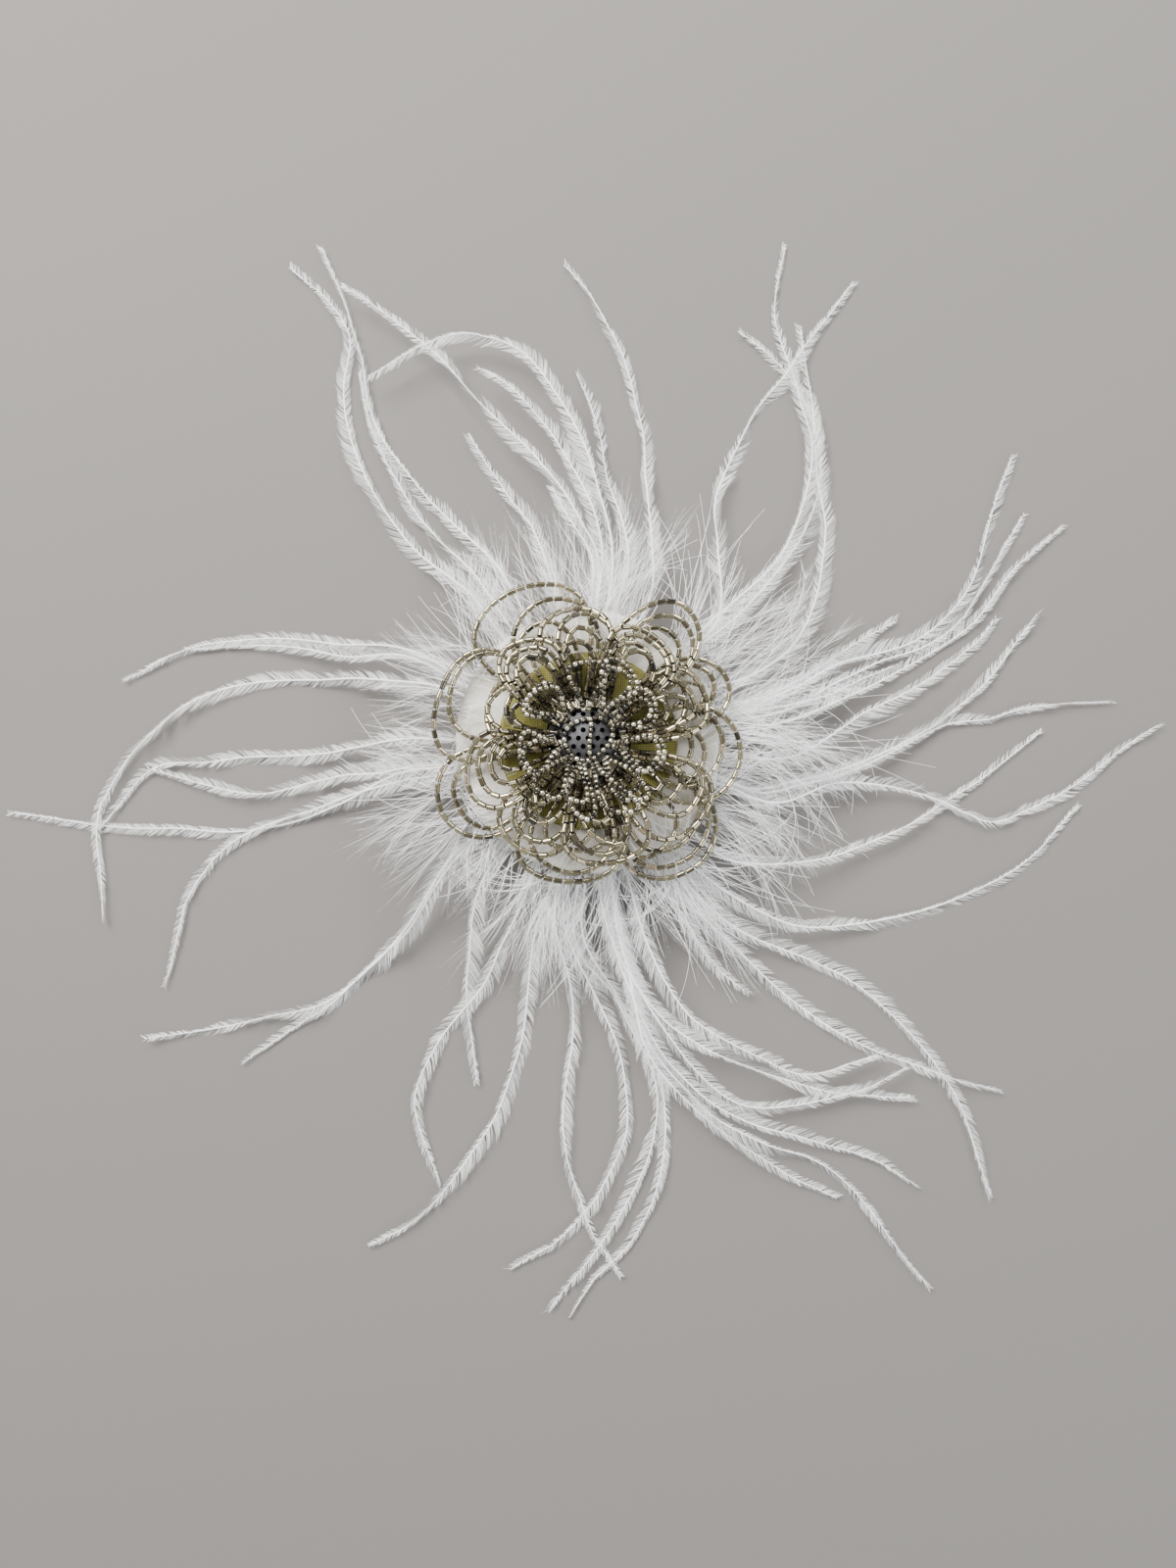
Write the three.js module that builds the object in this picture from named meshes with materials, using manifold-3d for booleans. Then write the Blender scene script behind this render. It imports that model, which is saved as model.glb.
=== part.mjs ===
// A feather and bead flower: looped bead strands sewn through a perforated dome, on two fabric discs
// that hold marabou fluff and long ostrich strands, with a two-way brooch pin and hair clip behind.
// Millimetres. +Z is the flower's face, z = 0 the flat back of the clip's jaw, and the flower's axis is Z.
import * as THREE from "three";
import { mergeVertices } from "three/addons/utils/BufferGeometryUtils.js";
import Module from "manifold-3d";

const wasm = await Module();
wasm.setup();

// ---- Driving dimensions ----
const gap = 0.3; // between pieces that touch on the real object
const runningGap = 0.1; // between a shaft and its hole

const jaw = { back: -26, front: 18, halfWidth: 3.5, thick: 0.8, toothLength: 0.9, teeth: 3 };
const jawSlot = { from: 4, to: 18, halfWidth: 0.9 }; // the window punched along the jaw, from its back
const grip = 4.3; // the clear height between the jaw and the fixed arm
const arm = { back: -26, front: 19, halfWidth: 4.2, thick: 0.8 };
const hinge = { x: 8, z: 3, pinRadius: 0.75, earRadius: 1.7, earThick: 0.8 };
const pinHead = { over: 0.5, thick: 0.5 }; // how far the hinge pin's heads stand out all round, and along
const spring = { wire: 0.6, leg: 5 };
const plate = { radius: 15, thick: 1 };
const stem = { y: 10, z: 3.4, radius: 0.45, hingeX: 9.5, catchX: -9.5 }; // the brooch pin
const rivet = { radius: 0.5, headRadius: 0.9, headThick: 0.4 };
const collar = { inner: 1.5, outer: 1.95, length: 2 };
const bite = 0.2; // how far a head or a foot reaches into the piece it is joined to

const backFelt = { radius: 28, thick: 1.2 };
const quills = { thick: 1.6, from: 16, to: 24 }; // the layer where the ostrich strands are tied
const stalks = { thick: 1.2, from: 20 }; // the layer where the marabou is tied
const frontFelt = { radius: 31.4, thick: 1.2 };
const goldDisc = { radius: 21.3, thick: 0.8 };
const sievePlate = { radius: 10, thick: 1 };
const dome = { radius: 9.5, height: 4, wall: 0.7, hole: 0.65, pitch: 2.2 };

const bugleRadius = 0.75; // a bugle-bead strand
const seedRadius = 0.8; // a seed-bead strand
const strandRadius = 0.8; // an ostrich strand, without its barbs

// ---- Heights, stacked from the jaw upwards ----
const armBottom = jaw.thick + grip;
const armTop = armBottom + arm.thick;
const plateBottom = armTop + gap;
const backFeltBottom = plateBottom + plate.thick + gap;
const quillBottom = backFeltBottom + backFelt.thick + gap;
const stalkBottom = quillBottom + quills.thick + gap;
const frontFeltBottom = stalkBottom + stalks.thick + gap;
const goldBottom = frontFeltBottom + frontFelt.thick + gap;
const goldTop = goldBottom + goldDisc.thick;
const sieveBottom = goldTop + gap;
const domeBottom = sieveBottom + sievePlate.thick + gap;
const quillHeight = quillBottom + quills.thick / 2;
const stalkHeight = stalkBottom + stalks.thick / 2;

// ---- Finishes ----
const finish = (color, roughness, metalness) =>
  new THREE.MeshStandardMaterial({ color, roughness, metalness });
const nickel = finish(0xb9b7b2, 0.32, 1);
const sieveMetal = finish(0x8e8f91, 0.38, 0.9);
const felt = finish(0xd8d6cc, 0.95, 0);
const goldCloth = finish(0x82802f, 0.6, 0.1);
const champagneGlass = finish(0xa0977c, 0.25, 0.6);
const crystalGlass = finish(0xc9c7bd, 0.2, 0.5);
const ostrich = finish(0xf4f5f3, 0.85, 0);
const marabou = finish(0xfbfbf9, 0.95, 0);

// ---- Small tools ----
const flower = new THREE.Group();

function addPiece(name, geometry, material) {
  const mesh = new THREE.Mesh(geometry, material);
  mesh.name = name;
  flower.add(mesh);
}

function toSolid(geometry) {
  const bare = geometry.clone();
  bare.deleteAttribute("normal");
  bare.deleteAttribute("uv");
  const merged = mergeVertices(bare, 1e-4);
  return new wasm.Manifold(
    new wasm.Mesh({
      numProp: 3,
      vertProperties: merged.attributes.position.array,
      triVerts: new Uint32Array(merged.index.array),
    }),
  );
}

function toGeometry(solid) {
  const mesh = solid.getMesh();
  const geometry = new THREE.BufferGeometry();
  geometry.setAttribute("position", new THREE.BufferAttribute(mesh.vertProperties, 3));
  geometry.setIndex(new THREE.BufferAttribute(mesh.triVerts, 1));
  geometry.computeVertexNormals();
  return geometry;
}

const join = (geometries) => geometries.map(toSolid).reduce((whole, next) => whole.add(next));
const cut = (solid, geometries) =>
  geometries.map(toSolid).reduce((whole, next) => whole.subtract(next), solid);

function block(low, high) {
  const size = high.map((value, i) => value - low[i]);
  const centre = high.map((value, i) => (value + low[i]) / 2);
  return new THREE.BoxGeometry(...size).translate(...centre);
}

function disc(radius, bottom, thick, sides = 48) {
  return new THREE.CylinderGeometry(radius, radius, thick, sides)
    .rotateX(Math.PI / 2)
    .translate(0, 0, bottom + thick / 2);
}

// A round bar along Y, centred on (x, z), from y0 to y1.
function barAlongY(radius, x, z, y0, y1, sides = 16) {
  return new THREE.CylinderGeometry(radius, radius, y1 - y0, sides).translate(x, (y0 + y1) / 2, z);
}

// A round bar along X, centred on (y, z), from x0 to x1.
function barAlongX(radius, y, z, x0, x1, sides = 16) {
  return new THREE.CylinderGeometry(radius, radius, x1 - x0, sides)
    .rotateZ(Math.PI / 2)
    .translate((x0 + x1) / 2, y, z);
}

function tube(extrudePath, radius, sides, steps) {
  const section = new THREE.Shape(
    Array.from({ length: sides }, (_, i) => {
      const angle = (i / sides) * 2 * Math.PI;
      return new THREE.Vector2(radius * Math.cos(angle), radius * Math.sin(angle));
    }),
  );
  return new THREE.ExtrudeGeometry(section, { steps, extrudePath, bevelEnabled: false });
}

const radians = (degrees) => (degrees * Math.PI) / 180;
const onBearing = (bearing, radius, z) =>
  new THREE.Vector3(
    radius * Math.cos(radians(bearing)),
    radius * Math.sin(radians(bearing)),
    z,
  );
const smoothstep = (from, to, value) => {
  const t = Math.min(1, Math.max(0, (value - from) / (to - from)));
  return t * t * (3 - 2 * t);
};

// ---- The hair clip ----
function addClip() {
  const ear = (side, inner, low) => {
    const faces = side > 0 ? [inner, inner + hinge.earThick] : [-inner - hinge.earThick, -inner];
    const reach = low ? [jaw.thick / 2, hinge.z] : [hinge.z, armTop - arm.thick / 2];
    return [
      barAlongY(hinge.earRadius, hinge.x, hinge.z, ...faces),
      block(
        [hinge.x - hinge.earRadius, faces[0], reach[0]],
        [hinge.x + hinge.earRadius, faces[1], reach[1]],
      ),
    ];
  };
  const armEar = arm.halfWidth - hinge.earThick; // inner face of the arm's ears
  const jawEar = armEar - gap - hinge.earThick;
  const pinHole = (halfLength) =>
    barAlongY(hinge.pinRadius + runningGap, hinge.x, hinge.z, -halfLength, halfLength);

  const armStrip = block(
    [arm.back, -arm.halfWidth, armBottom],
    [arm.front, arm.halfWidth, armTop],
  );
  const armEars = [1, -1].flatMap((side) => ear(side, armEar, false));
  addPiece(
    "clip_arm",
    toGeometry(cut(join([armStrip, ...armEars]), [pinHole(arm.halfWidth + 1)])),
    nickel,
  );

  const jawStrip = block([jaw.back, -jaw.halfWidth, 0], [jaw.front, jaw.halfWidth, jaw.thick]);
  const jawEars = [1, -1].flatMap((side) => ear(side, jawEar, true));
  const toothPitch = (2 * jaw.halfWidth) / (2 * jaw.teeth - 1);
  const teeth = Array.from({ length: jaw.teeth }, (_, i) => {
    const y = -jaw.halfWidth + 2 * i * toothPitch;
    return block(
      [jaw.back, y, jaw.thick / 2],
      [jaw.back + jaw.toothLength, y + toothPitch, armBottom - gap],
    );
  });
  const slot = block(
    [jaw.back + jawSlot.from, -jawSlot.halfWidth, -1],
    [jaw.back + jawSlot.to, jawSlot.halfWidth, jaw.thick + 1],
  );
  addPiece(
    "clip_jaw",
    toGeometry(cut(join([jawStrip, ...jawEars, ...teeth]), [pinHole(jawEar + 2), slot])),
    nickel,
  );

  const headFrom = arm.halfWidth + runningGap;
  const headTo = headFrom + pinHead.thick;
  const headRadius = hinge.pinRadius + pinHead.over;
  const heads = [
    barAlongY(headRadius, hinge.x, hinge.z, headFrom, headTo),
    barAlongY(headRadius, hinge.x, hinge.z, -headTo, -headFrom),
  ];
  const shaft = barAlongY(hinge.pinRadius, hinge.x, hinge.z, -headFrom - bite, headFrom + bite);
  addPiece("clip_hinge_pin", toGeometry(join([shaft, ...heads])), nickel);

  const coilHalf = jawEar - gap;
  const coilInner = hinge.pinRadius + gap;
  const barrel = barAlongY(coilInner + spring.wire, hinge.x, hinge.z, -coilHalf, coilHalf);
  const legUp = block(
    [hinge.x - spring.leg, -coilHalf, armBottom - gap - spring.wire],
    [hinge.x, -coilHalf + spring.wire, armBottom - gap],
  );
  const riser = block(
    [hinge.x - 1, -coilHalf, hinge.z + coilInner + bite / 2],
    [hinge.x, -coilHalf + spring.wire, armBottom - gap],
  );
  const legDown = block(
    [hinge.x - spring.leg, coilHalf - spring.wire, jaw.thick + gap],
    [hinge.x, coilHalf, jaw.thick + gap + spring.wire],
  );
  const coil = cut(join([barrel, legUp, riser, legDown]), [
    barAlongY(coilInner, hinge.x, hinge.z, -coilHalf - 1, coilHalf + 1),
  ]);
  addPiece("clip_spring", toGeometry(coil), nickel);
}

// ---- The brooch pin, its hinge and its locking catch ----
function addBroochPin() {
  const eyeRadius = 1.3;
  const eyeHalf = 0.7;
  const earThick = 0.7;
  const across = (half) => [stem.y - half, stem.y + half];
  const standOff = plateBottom - gap;
  const footBottom = standOff - 0.6;
  const earHalf = eyeHalf + gap + earThick;

  const ears = [
    [stem.y - earHalf, stem.y - earHalf + earThick],
    [stem.y + earHalf - earThick, stem.y + earHalf],
  ].flatMap(([y0, y1]) => [
    barAlongY(eyeRadius, stem.hingeX, stem.z, y0, y1),
    block([stem.hingeX - eyeRadius, y0, stem.z], [stem.hingeX + eyeRadius, y1, standOff]),
  ]);
  const foot = block(
    [stem.hingeX - 1.8, stem.y - earHalf, footBottom],
    [stem.hingeX + 1.8, stem.y + earHalf, standOff],
  );
  const rivetHole = barAlongY(rivet.radius + runningGap, stem.hingeX, stem.z, ...across(earHalf + 1));
  addPiece("pin_hinge_block", toGeometry(cut(join([foot, ...ears]), [rivetHole])), nickel);

  const headFrom = earHalf + runningGap;
  const headTo = headFrom + rivet.headThick;
  const rivetParts = [
    barAlongY(rivet.radius, stem.hingeX, stem.z, ...across(headFrom + bite)),
    barAlongY(rivet.headRadius, stem.hingeX, stem.z, stem.y + headFrom, stem.y + headTo),
    barAlongY(rivet.headRadius, stem.hingeX, stem.z, stem.y - headTo, stem.y - headFrom),
  ];
  addPiece("pin_rivet", toGeometry(join(rivetParts)), nickel);

  const tip = new THREE.ConeGeometry(stem.radius, 2, 12)
    .rotateZ(Math.PI / 2)
    .translate(stem.catchX - 2.9, stem.y, stem.z);
  const shaft = barAlongX(stem.radius, stem.y, stem.z, stem.catchX - 2, stem.hingeX - 0.9, 12);
  const eye = barAlongY(eyeRadius, stem.hingeX, stem.z, ...across(eyeHalf));
  addPiece("brooch_pin", toGeometry(cut(join([shaft, tip, eye]), [rivetHole])), nickel);

  const hookHalf = 2.3;
  const flangeThick = 0.8;
  const hookRadius = collar.inner - 0.15;
  const x0 = stem.catchX - hookHalf;
  const x1 = stem.catchX + hookHalf;
  const flange = (from) => [
    barAlongX(collar.outer, stem.y, stem.z, from, from + flangeThick),
    block(
      [from, stem.y - collar.outer, stem.z],
      [from + flangeThick, stem.y + collar.outer, standOff],
    ),
  ];
  const slotHalf = stem.radius + 0.2;
  const throat = block(
    [x0 - 1, stem.y - slotHalf, stem.z - collar.outer - 1],
    [x1 + 1, stem.y + slotHalf, stem.z + slotHalf],
  );
  const hook = join([
    barAlongX(hookRadius, stem.y, stem.z, x0, x1),
    ...flange(x0),
    ...flange(x1 - flangeThick),
    block([x0, stem.y - collar.outer, standOff - 0.3], [x1, stem.y + collar.outer, standOff]),
  ]);
  addPiece("pin_catch", toGeometry(cut(hook, [throat])), nickel);

  const ring = toSolid(
    barAlongX(
      collar.outer,
      stem.y,
      stem.z,
      stem.catchX - collar.length / 2,
      stem.catchX + collar.length / 2,
    ),
  );
  const bore = barAlongX(collar.inner, stem.y, stem.z, x0, x1);
  const mouth = block(
    [x0, stem.y, stem.z - slotHalf],
    [x1, stem.y + collar.outer + 1, stem.z + slotHalf],
  );
  const thumbTab = block(
    [stem.catchX - 0.5, stem.y - 0.4, stem.z - collar.outer - 0.9],
    [stem.catchX + 0.5, stem.y + 0.4, stem.z - collar.inner - 0.1],
  );
  addPiece("catch_collar", toGeometry(cut(ring.add(toSolid(thumbTab)), [bore, mouth])), nickel);
}

// ---- Plates and fabric discs ----
function addDiscs() {
  addPiece("back_plate", disc(plate.radius, plateBottom, plate.thick), nickel);
  addPiece("felt_back", disc(backFelt.radius, backFeltBottom, backFelt.thick), felt);
  addPiece("felt_front", disc(frontFelt.radius, frontFeltBottom, frontFelt.thick), felt);
  addPiece("gold_disc", disc(goldDisc.radius, goldBottom, goldDisc.thick), goldCloth);
  addPiece("sieve_plate", disc(sievePlate.radius, sieveBottom, sievePlate.thick, 32), sieveMetal);
}

const domeRound = (dome.radius ** 2 + dome.height ** 2) / (2 * dome.height); // radius of its sphere
const domeHeightAt = (radius) =>
  domeBottom + dome.height - domeRound + Math.sqrt(domeRound ** 2 - radius ** 2);

// A thin cap of a sphere, open below, with a hexagonal grid of sewing holes.
function addSieveDome() {
  const steps = 4;
  const profile = [];
  for (let i = 0; i <= steps; i++) {
    const radius = (dome.radius * (steps - i)) / steps;
    profile.push(new THREE.Vector2(radius, domeHeightAt(radius)));
  }
  for (let i = 0; i <= steps; i++) {
    const radius = ((dome.radius - dome.wall) * i) / steps;
    profile.push(new THREE.Vector2(radius, Math.max(domeBottom, domeHeightAt(radius) - dome.wall)));
  }
  profile.push(profile[0].clone());
  const shell = toSolid(new THREE.LatheGeometry(profile, 24).rotateX(Math.PI / 2));
  const holes = [];
  for (let row = -2; row <= 2; row++) {
    for (let i = -2; i <= 2; i++) {
      const x = (i + row / 2) * dome.pitch;
      const y = (row * dome.pitch * Math.sqrt(3)) / 2;
      if (Math.hypot(x, y) < 2.1 * dome.pitch) {
        holes.push(disc(dome.hole, domeBottom - 1, dome.height + 2, 6).translate(x, y, 0));
      }
    }
  }
  addPiece("sieve_dome", toGeometry(cut(shell, holes)), sieveMetal);
}

// ---- Bead petals ----
// A petal is a teardrop loop that leaves one hole and comes back to it. Its bearing is in degrees from
// +X, its reach the distance of its tip from the axis and its width the widest across. lift is how far
// the tip ends above the root, and arch how much the middle stands above that line.
const rings = {
  outer: { name: "outer_petal", rootRadius: 13, rootHeight: 15.9, radius: bugleRadius, waist: 0.7 },
  middle: { name: "middle_petal", rootRadius: 10.9, rootHeight: 17.9, radius: bugleRadius, waist: 1 },
  inner: { name: "inner_petal", rootRadius: 5, rootHeight: 20.5, radius: seedRadius, waist: 1 },
};
const petals = [
  { ring: rings.outer, bearing: 26, reach: 36, width: 14, lift: 0.5, arch: 0 },
  { ring: rings.outer, bearing: 56, reach: 38, width: 16.5, lift: 2.2, arch: 0 },
  { ring: rings.outer, bearing: 116, reach: 38, width: 25, lift: 0.5, arch: 0 },
  { ring: rings.outer, bearing: 163, reach: 36.5, width: 23, lift: 2.2, arch: 0 },
  { ring: rings.outer, bearing: 207, reach: 37.5, width: 19, lift: 0.5, arch: 0 },
  { ring: rings.outer, bearing: 262, reach: 34, width: 23, lift: 2.2, arch: 0 },
  { ring: rings.outer, bearing: 312, reach: 37.5, width: 23, lift: 0.5, arch: 0 },
  { ring: rings.outer, bearing: 352, reach: 34.5, width: 21, lift: 2.2, arch: 0 },
  { ring: rings.middle, bearing: 20, reach: 28.5, width: 13.5, lift: 3.2, arch: 3 },
  { ring: rings.middle, bearing: 55, reach: 27.5, width: 15, lift: 4.8, arch: 3.2 },
  { ring: rings.middle, bearing: 96, reach: 29.5, width: 14.5, lift: 3.2, arch: 3 },
  { ring: rings.middle, bearing: 129, reach: 26.5, width: 12.5, lift: 4.8, arch: 3.2 },
  { ring: rings.middle, bearing: 162, reach: 24, width: 12.5, lift: 3.2, arch: 3 },
  { ring: rings.middle, bearing: 200, reach: 28.5, width: 15, lift: 4.8, arch: 3.2 },
  { ring: rings.middle, bearing: 239, reach: 29.5, width: 15, lift: 3.2, arch: 3 },
  { ring: rings.middle, bearing: 281, reach: 30, width: 16, lift: 4.8, arch: 3.2 },
  { ring: rings.middle, bearing: 322, reach: 31.5, width: 17, lift: 3.2, arch: 3 },
  { ring: rings.inner, bearing: 28, reach: 15.8, width: 6.8, lift: 5.2, arch: 0.3 },
  { ring: rings.inner, bearing: 60, reach: 17.4, width: 6.8, lift: 6.8, arch: 0.8 },
  { ring: rings.inner, bearing: 94, reach: 16.6, width: 7.3, lift: 5.2, arch: 0.3 },
  { ring: rings.inner, bearing: 141, reach: 16.2, width: 7.8, lift: 5.6, arch: 0.8 },
  { ring: rings.inner, bearing: 196, reach: 15.6, width: 8.8, lift: 5.2, arch: 0.3 },
  { ring: rings.inner, bearing: 230, reach: 18, width: 7.3, lift: 6.8, arch: 0.8 },
  { ring: rings.inner, bearing: 258, reach: 17.2, width: 6.4, lift: 5.2, arch: 0.3 },
  { ring: rings.inner, bearing: 283, reach: 18.4, width: 6.4, lift: 6.8, arch: 0.8 },
  { ring: rings.inner, bearing: 309, reach: 17.2, width: 6.8, lift: 5.2, arch: 0.3 },
  { ring: rings.inner, bearing: 343, reach: 16.8, width: 7.3, lift: 6.8, arch: 0.8 },
];

// The teardrop's half width at turn t, from 0 at the root to 1 at its widest. The waist narrows its neck.
function teardropSide(t, waist) {
  const half = Math.sin(Math.PI * t);
  const power = 2 * waist + 1;
  const peak = 2 * (power / (power + 1)) ** (power / 2) * (1 / (power + 1)) ** 0.5;
  return (2 * Math.abs(half) ** power * Math.cos(Math.PI * t)) / peak;
}

function petalPoint(petal, t) {
  const { rootRadius, rootHeight, waist } = petal.ring;
  const along = Math.sin(Math.PI * t) ** 2;
  const side = (petal.width / 2) * teardropSide(t, waist);
  const z =
    rootHeight + petal.lift * (1 - (1 - along) ** 3) + petal.arch * Math.sin(Math.PI * along);
  return new THREE.Vector3(rootRadius + (petal.reach - rootRadius) * along, side, z);
}

function addPetals() {
  const inKnot = 0.025; // the share of a loop's turn that stays inside the knot at its root
  const samples = 5;
  const counts = new Map();
  for (const petal of petals) {
    const { name, rootRadius, rootHeight, radius } = petal.ring;
    const knot = new THREE.SphereGeometry(radius + 0.15, 6, 4);
    const halves = [
      [inKnot, 0.51],
      [0.49, 1 - inKnot],
    ].map(([from, to]) => {
      const points = Array.from({ length: samples + 1 }, (_, i) =>
        petalPoint(petal, from + ((to - from) * i) / samples),
      );
      return tube(new THREE.CatmullRomCurve3(points), radius, 4, samples);
    });
    const loop = join([knot.translate(rootRadius, 0, rootHeight), ...halves]);
    const number = (counts.get(name) ?? 0) + 1;
    counts.set(name, number);
    const material = radius === seedRadius ? crystalGlass : champagneGlass;
    addPiece(`${name}_${number}`, toGeometry(loop).rotateZ(radians(petal.bearing)), material);
  }
}

// ---- Ostrich strands ----
// Each tuft is tied under the front felt at one bearing. A strand's points are its route in plan, from
// where it leaves the felt to its tip. Strands sink to the floor height at the landing distance.
const tufts = [
  {
    name: "ostrich_right_upper",
    bearing: 8,
    landing: 85,
    floor: 0,
    strands: [
      [[47, -3], [68, 8], [84, 17], [96, 26], [100, 32]],
      [[34, 6], [60, 19], [82, 27], [94, 39], [99, 55], [105, 73]],
      [[47, 8], [71, 21], [86, 26], [97, 39], [108, 58]],
      [[47, 5], [76, 19], [94, 30], [105, 44], [118, 55]],
      [[44, 12], [63, 24], [76, 31]],
      [[51, 10], [69, 17], [76, 20]],
    ],
  },
  {
    name: "ostrich_top_right",
    bearing: 38,
    landing: 80,
    floor: 0,
    strands: [
      [[31, 29], [32, 48], [31, 61], [38, 77], [52, 97], [67, 117]],
      [[36, 35], [47, 46], [54, 62], [56, 76], [53, 89], [47, 109], [50, 127]],
      [[39, 34], [50, 48], [57, 62], [57, 78], [51, 92], [44, 100], [38, 105]],
      [[48, 22], [56, 36], [59, 53], [57, 69], [55, 89], [53, 106]],
    ],
  },
  {
    name: "ostrich_top",
    bearing: 68,
    landing: 80,
    floor: 0,
    strands: [
      [[15, 36], [15, 64], [12, 85], [7, 103], [-1, 116], [-6, 122]],
      [[10, 46], [5, 65], [0, 86], [-3, 94]],
    ],
  },
  {
    name: "ostrich_top_swept",
    bearing: 88,
    landing: 125,
    floor: 4.6,
    strands: [
      [[6, 46], [1, 69], [-6, 84], [-15, 96], [-27, 102], [-39, 99], [-54, 91]],
      [[3, 52], [-7, 73], [-21, 89], [-27, 93]],
      [[2, 47], [-13, 70], [-27, 85], [-39, 98], [-54, 110], [-61, 114]],
      [[1, 44], [-3, 52], [-9, 62]],
    ],
  },
  {
    name: "ostrich_top_left",
    bearing: 118,
    landing: 70,
    floor: 0,
    strands: [
      [[-11, 46], [-19, 62], [-30, 78]],
      [[-21, 42], [-35, 57], [-51, 77], [-57, 98], [-60, 110], [-67, 126]],
      [[-27, 41], [-45, 62], [-53, 77], [-57, 94]],
      [[-29, 37], [-48, 55], [-58, 74], [-61, 91], [-60, 104], [-75, 121]],
    ],
  },
  {
    name: "ostrich_left_upper",
    bearing: 150,
    landing: 90,
    floor: 0,
    strands: [
      [[-44, 21], [-60, 22], [-78, 25], [-98, 24]],
      [[-44, 23], [-60, 24], [-78, 27], [-98, 24], [-114, 16]],
    ],
  },
  {
    name: "ostrich_left",
    bearing: 177,
    landing: 75,
    floor: 0,
    strands: [
      [[-38, 14], [-71, 17], [-95, 12], [-107, 3], [-118, -13], [-119, -22], [-117, -42]],
      [[-44, 1], [-67, -2], [-90, -4], [-106, -6], [-119, -21]],
      [[-44, -6], [-64, -9], [-83, -11], [-94, -9], [-107, -5]],
      [[-44, -7], [-60, -14], [-79, -20], [-102, -20], [-117, -19], [-141, -16]],
      [[-44, -9], [-56, -12], [-69, -16], [-87, -24], [-94, -31], [-102, -58]],
    ],
  },
  {
    name: "ostrich_left_lower",
    bearing: 220,
    landing: 85,
    floor: 0,
    strands: [
      [[-31, -26], [-44, -44], [-52, -53], [-61, -61], [-83, -67], [-106, -70]],
      [[-32, -28], [-44, -45], [-52, -53], [-61, -62], [-69, -67], [-83, -76]],
    ],
  },
  {
    name: "ostrich_bottom_left",
    bearing: 244,
    landing: 70,
    floor: 0,
    strands: [
      [[-25, -33], [-29, -53], [-29, -61], [-28, -71], [-27, -81]],
      [[-17, -41], [-24, -56], [-35, -70], [-41, -84], [-40, -92], [-35, -105]],
      [[-12, -44], [-15, -66], [-21, -87], [-33, -105], [-41, -113], [-52, -119]],
    ],
  },
  {
    name: "ostrich_bottom",
    bearing: 265,
    landing: 65,
    floor: 0,
    strands: [
      [[-8, -41], [-4, -59], [-4, -71], [-6, -92], [-1, -112], [8, -126]],
      [[-6, -42], [1, -59], [8, -75], [9, -92], [0, -111], [-18, -125]],
      [[-3, -46], [6, -61], [16, -80], [16, -92], [10, -108], [-9, -134]],
      [[-1, -46], [8, -62], [17, -80], [18, -97], [12, -115], [-5, -135]],
    ],
  },
  {
    name: "ostrich_bottom_right",
    bearing: 284,
    landing: 135,
    floor: 0,
    strands: [
      [[4, -42], [14, -61], [28, -72], [48, -80], [69, -84], [78, -84]],
      [[14, -48], [20, -59], [32, -70], [51, -78], [69, -74]],
      [[8, -47], [15, -63], [27, -79], [38, -86], [64, -82], [76, -77]],
      [[6, -46], [18, -75], [35, -88], [51, -94], [67, -99], [79, -105]],
      [[9, -52], [14, -70], [25, -84], [41, -94], [59, -102], [81, -129]],
      [[9, -50], [14, -73], [25, -86], [41, -98], [59, -108]],
    ],
  },
  {
    name: "ostrich_right_lower",
    bearing: 302,
    landing: 80,
    floor: 0,
    strands: [
      [[24, -34], [37, -45], [53, -52], [66, -59], [78, -70], [88, -84], [96, -108]],
      [[23, -37], [37, -51], [53, -64], [69, -73], [85, -79], [99, -83]],
      [[20, -37], [26, -47], [32, -54], [38, -60]],
    ],
  },
  {
    name: "ostrich_right",
    bearing: 334,
    landing: 95,
    floor: 0,
    strands: [
      [[28, -32], [42, -41], [52, -44], [72, -42], [92, -36], [109, -26], [119, -14]],
      [[34, -28], [54, -28], [76, -20], [91, -11], [111, 4]],
      [[44, -14], [60, -9], [76, -10], [92, -16], [100, -18], [116, -11], [140, 6]],
      [[40, -11], [63, -5], [82, 4], [97, 15], [111, 33]],
      [[42, -12], [63, -6], [82, 3], [99, 8], [129, 11]],
    ],
  },
];

function strandHeight(tuft, radius) {
  const low = tuft.floor + strandRadius;
  return quillHeight + (low - quillHeight) * smoothstep(frontFelt.radius, tuft.landing, radius);
}

// A strand's line: smooth in plan through its points, and as high as its tuft is at that distance.
class StrandLine extends THREE.Curve {
  constructor(tuft, route) {
    super();
    this.tuft = tuft;
    const edge = new THREE.Vector3(...route[0], 0).setLength(frontFelt.radius - 1);
    const tied = [quills.to - 3, quills.to - 1].map((radius) => onBearing(tuft.bearing, radius, 0));
    this.plan = new THREE.CatmullRomCurve3([
      ...tied,
      edge,
      ...route.map(([x, y]) => new THREE.Vector3(x, y, 0)),
    ]);
  }

  getPoint(t, target = new THREE.Vector3()) {
    this.plan.getPoint(t, target);
    return target.setZ(strandHeight(this.tuft, Math.hypot(target.x, target.y)));
  }
}

function addOstrich() {
  for (const tuft of tufts) {
    const tie = block(
      [quills.from, -2.2, quillBottom],
      [quills.to, 2.2, quillBottom + quills.thick],
    ).rotateZ(radians(tuft.bearing));
    const strands = tuft.strands.map((route) => {
      const steps = route.length + 4;
      return tube(new StrandLine(tuft, route), strandRadius, 3, steps);
    });
    addPiece(tuft.name, toGeometry(join([tie, ...strands])), ostrich);
  }
}

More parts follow.
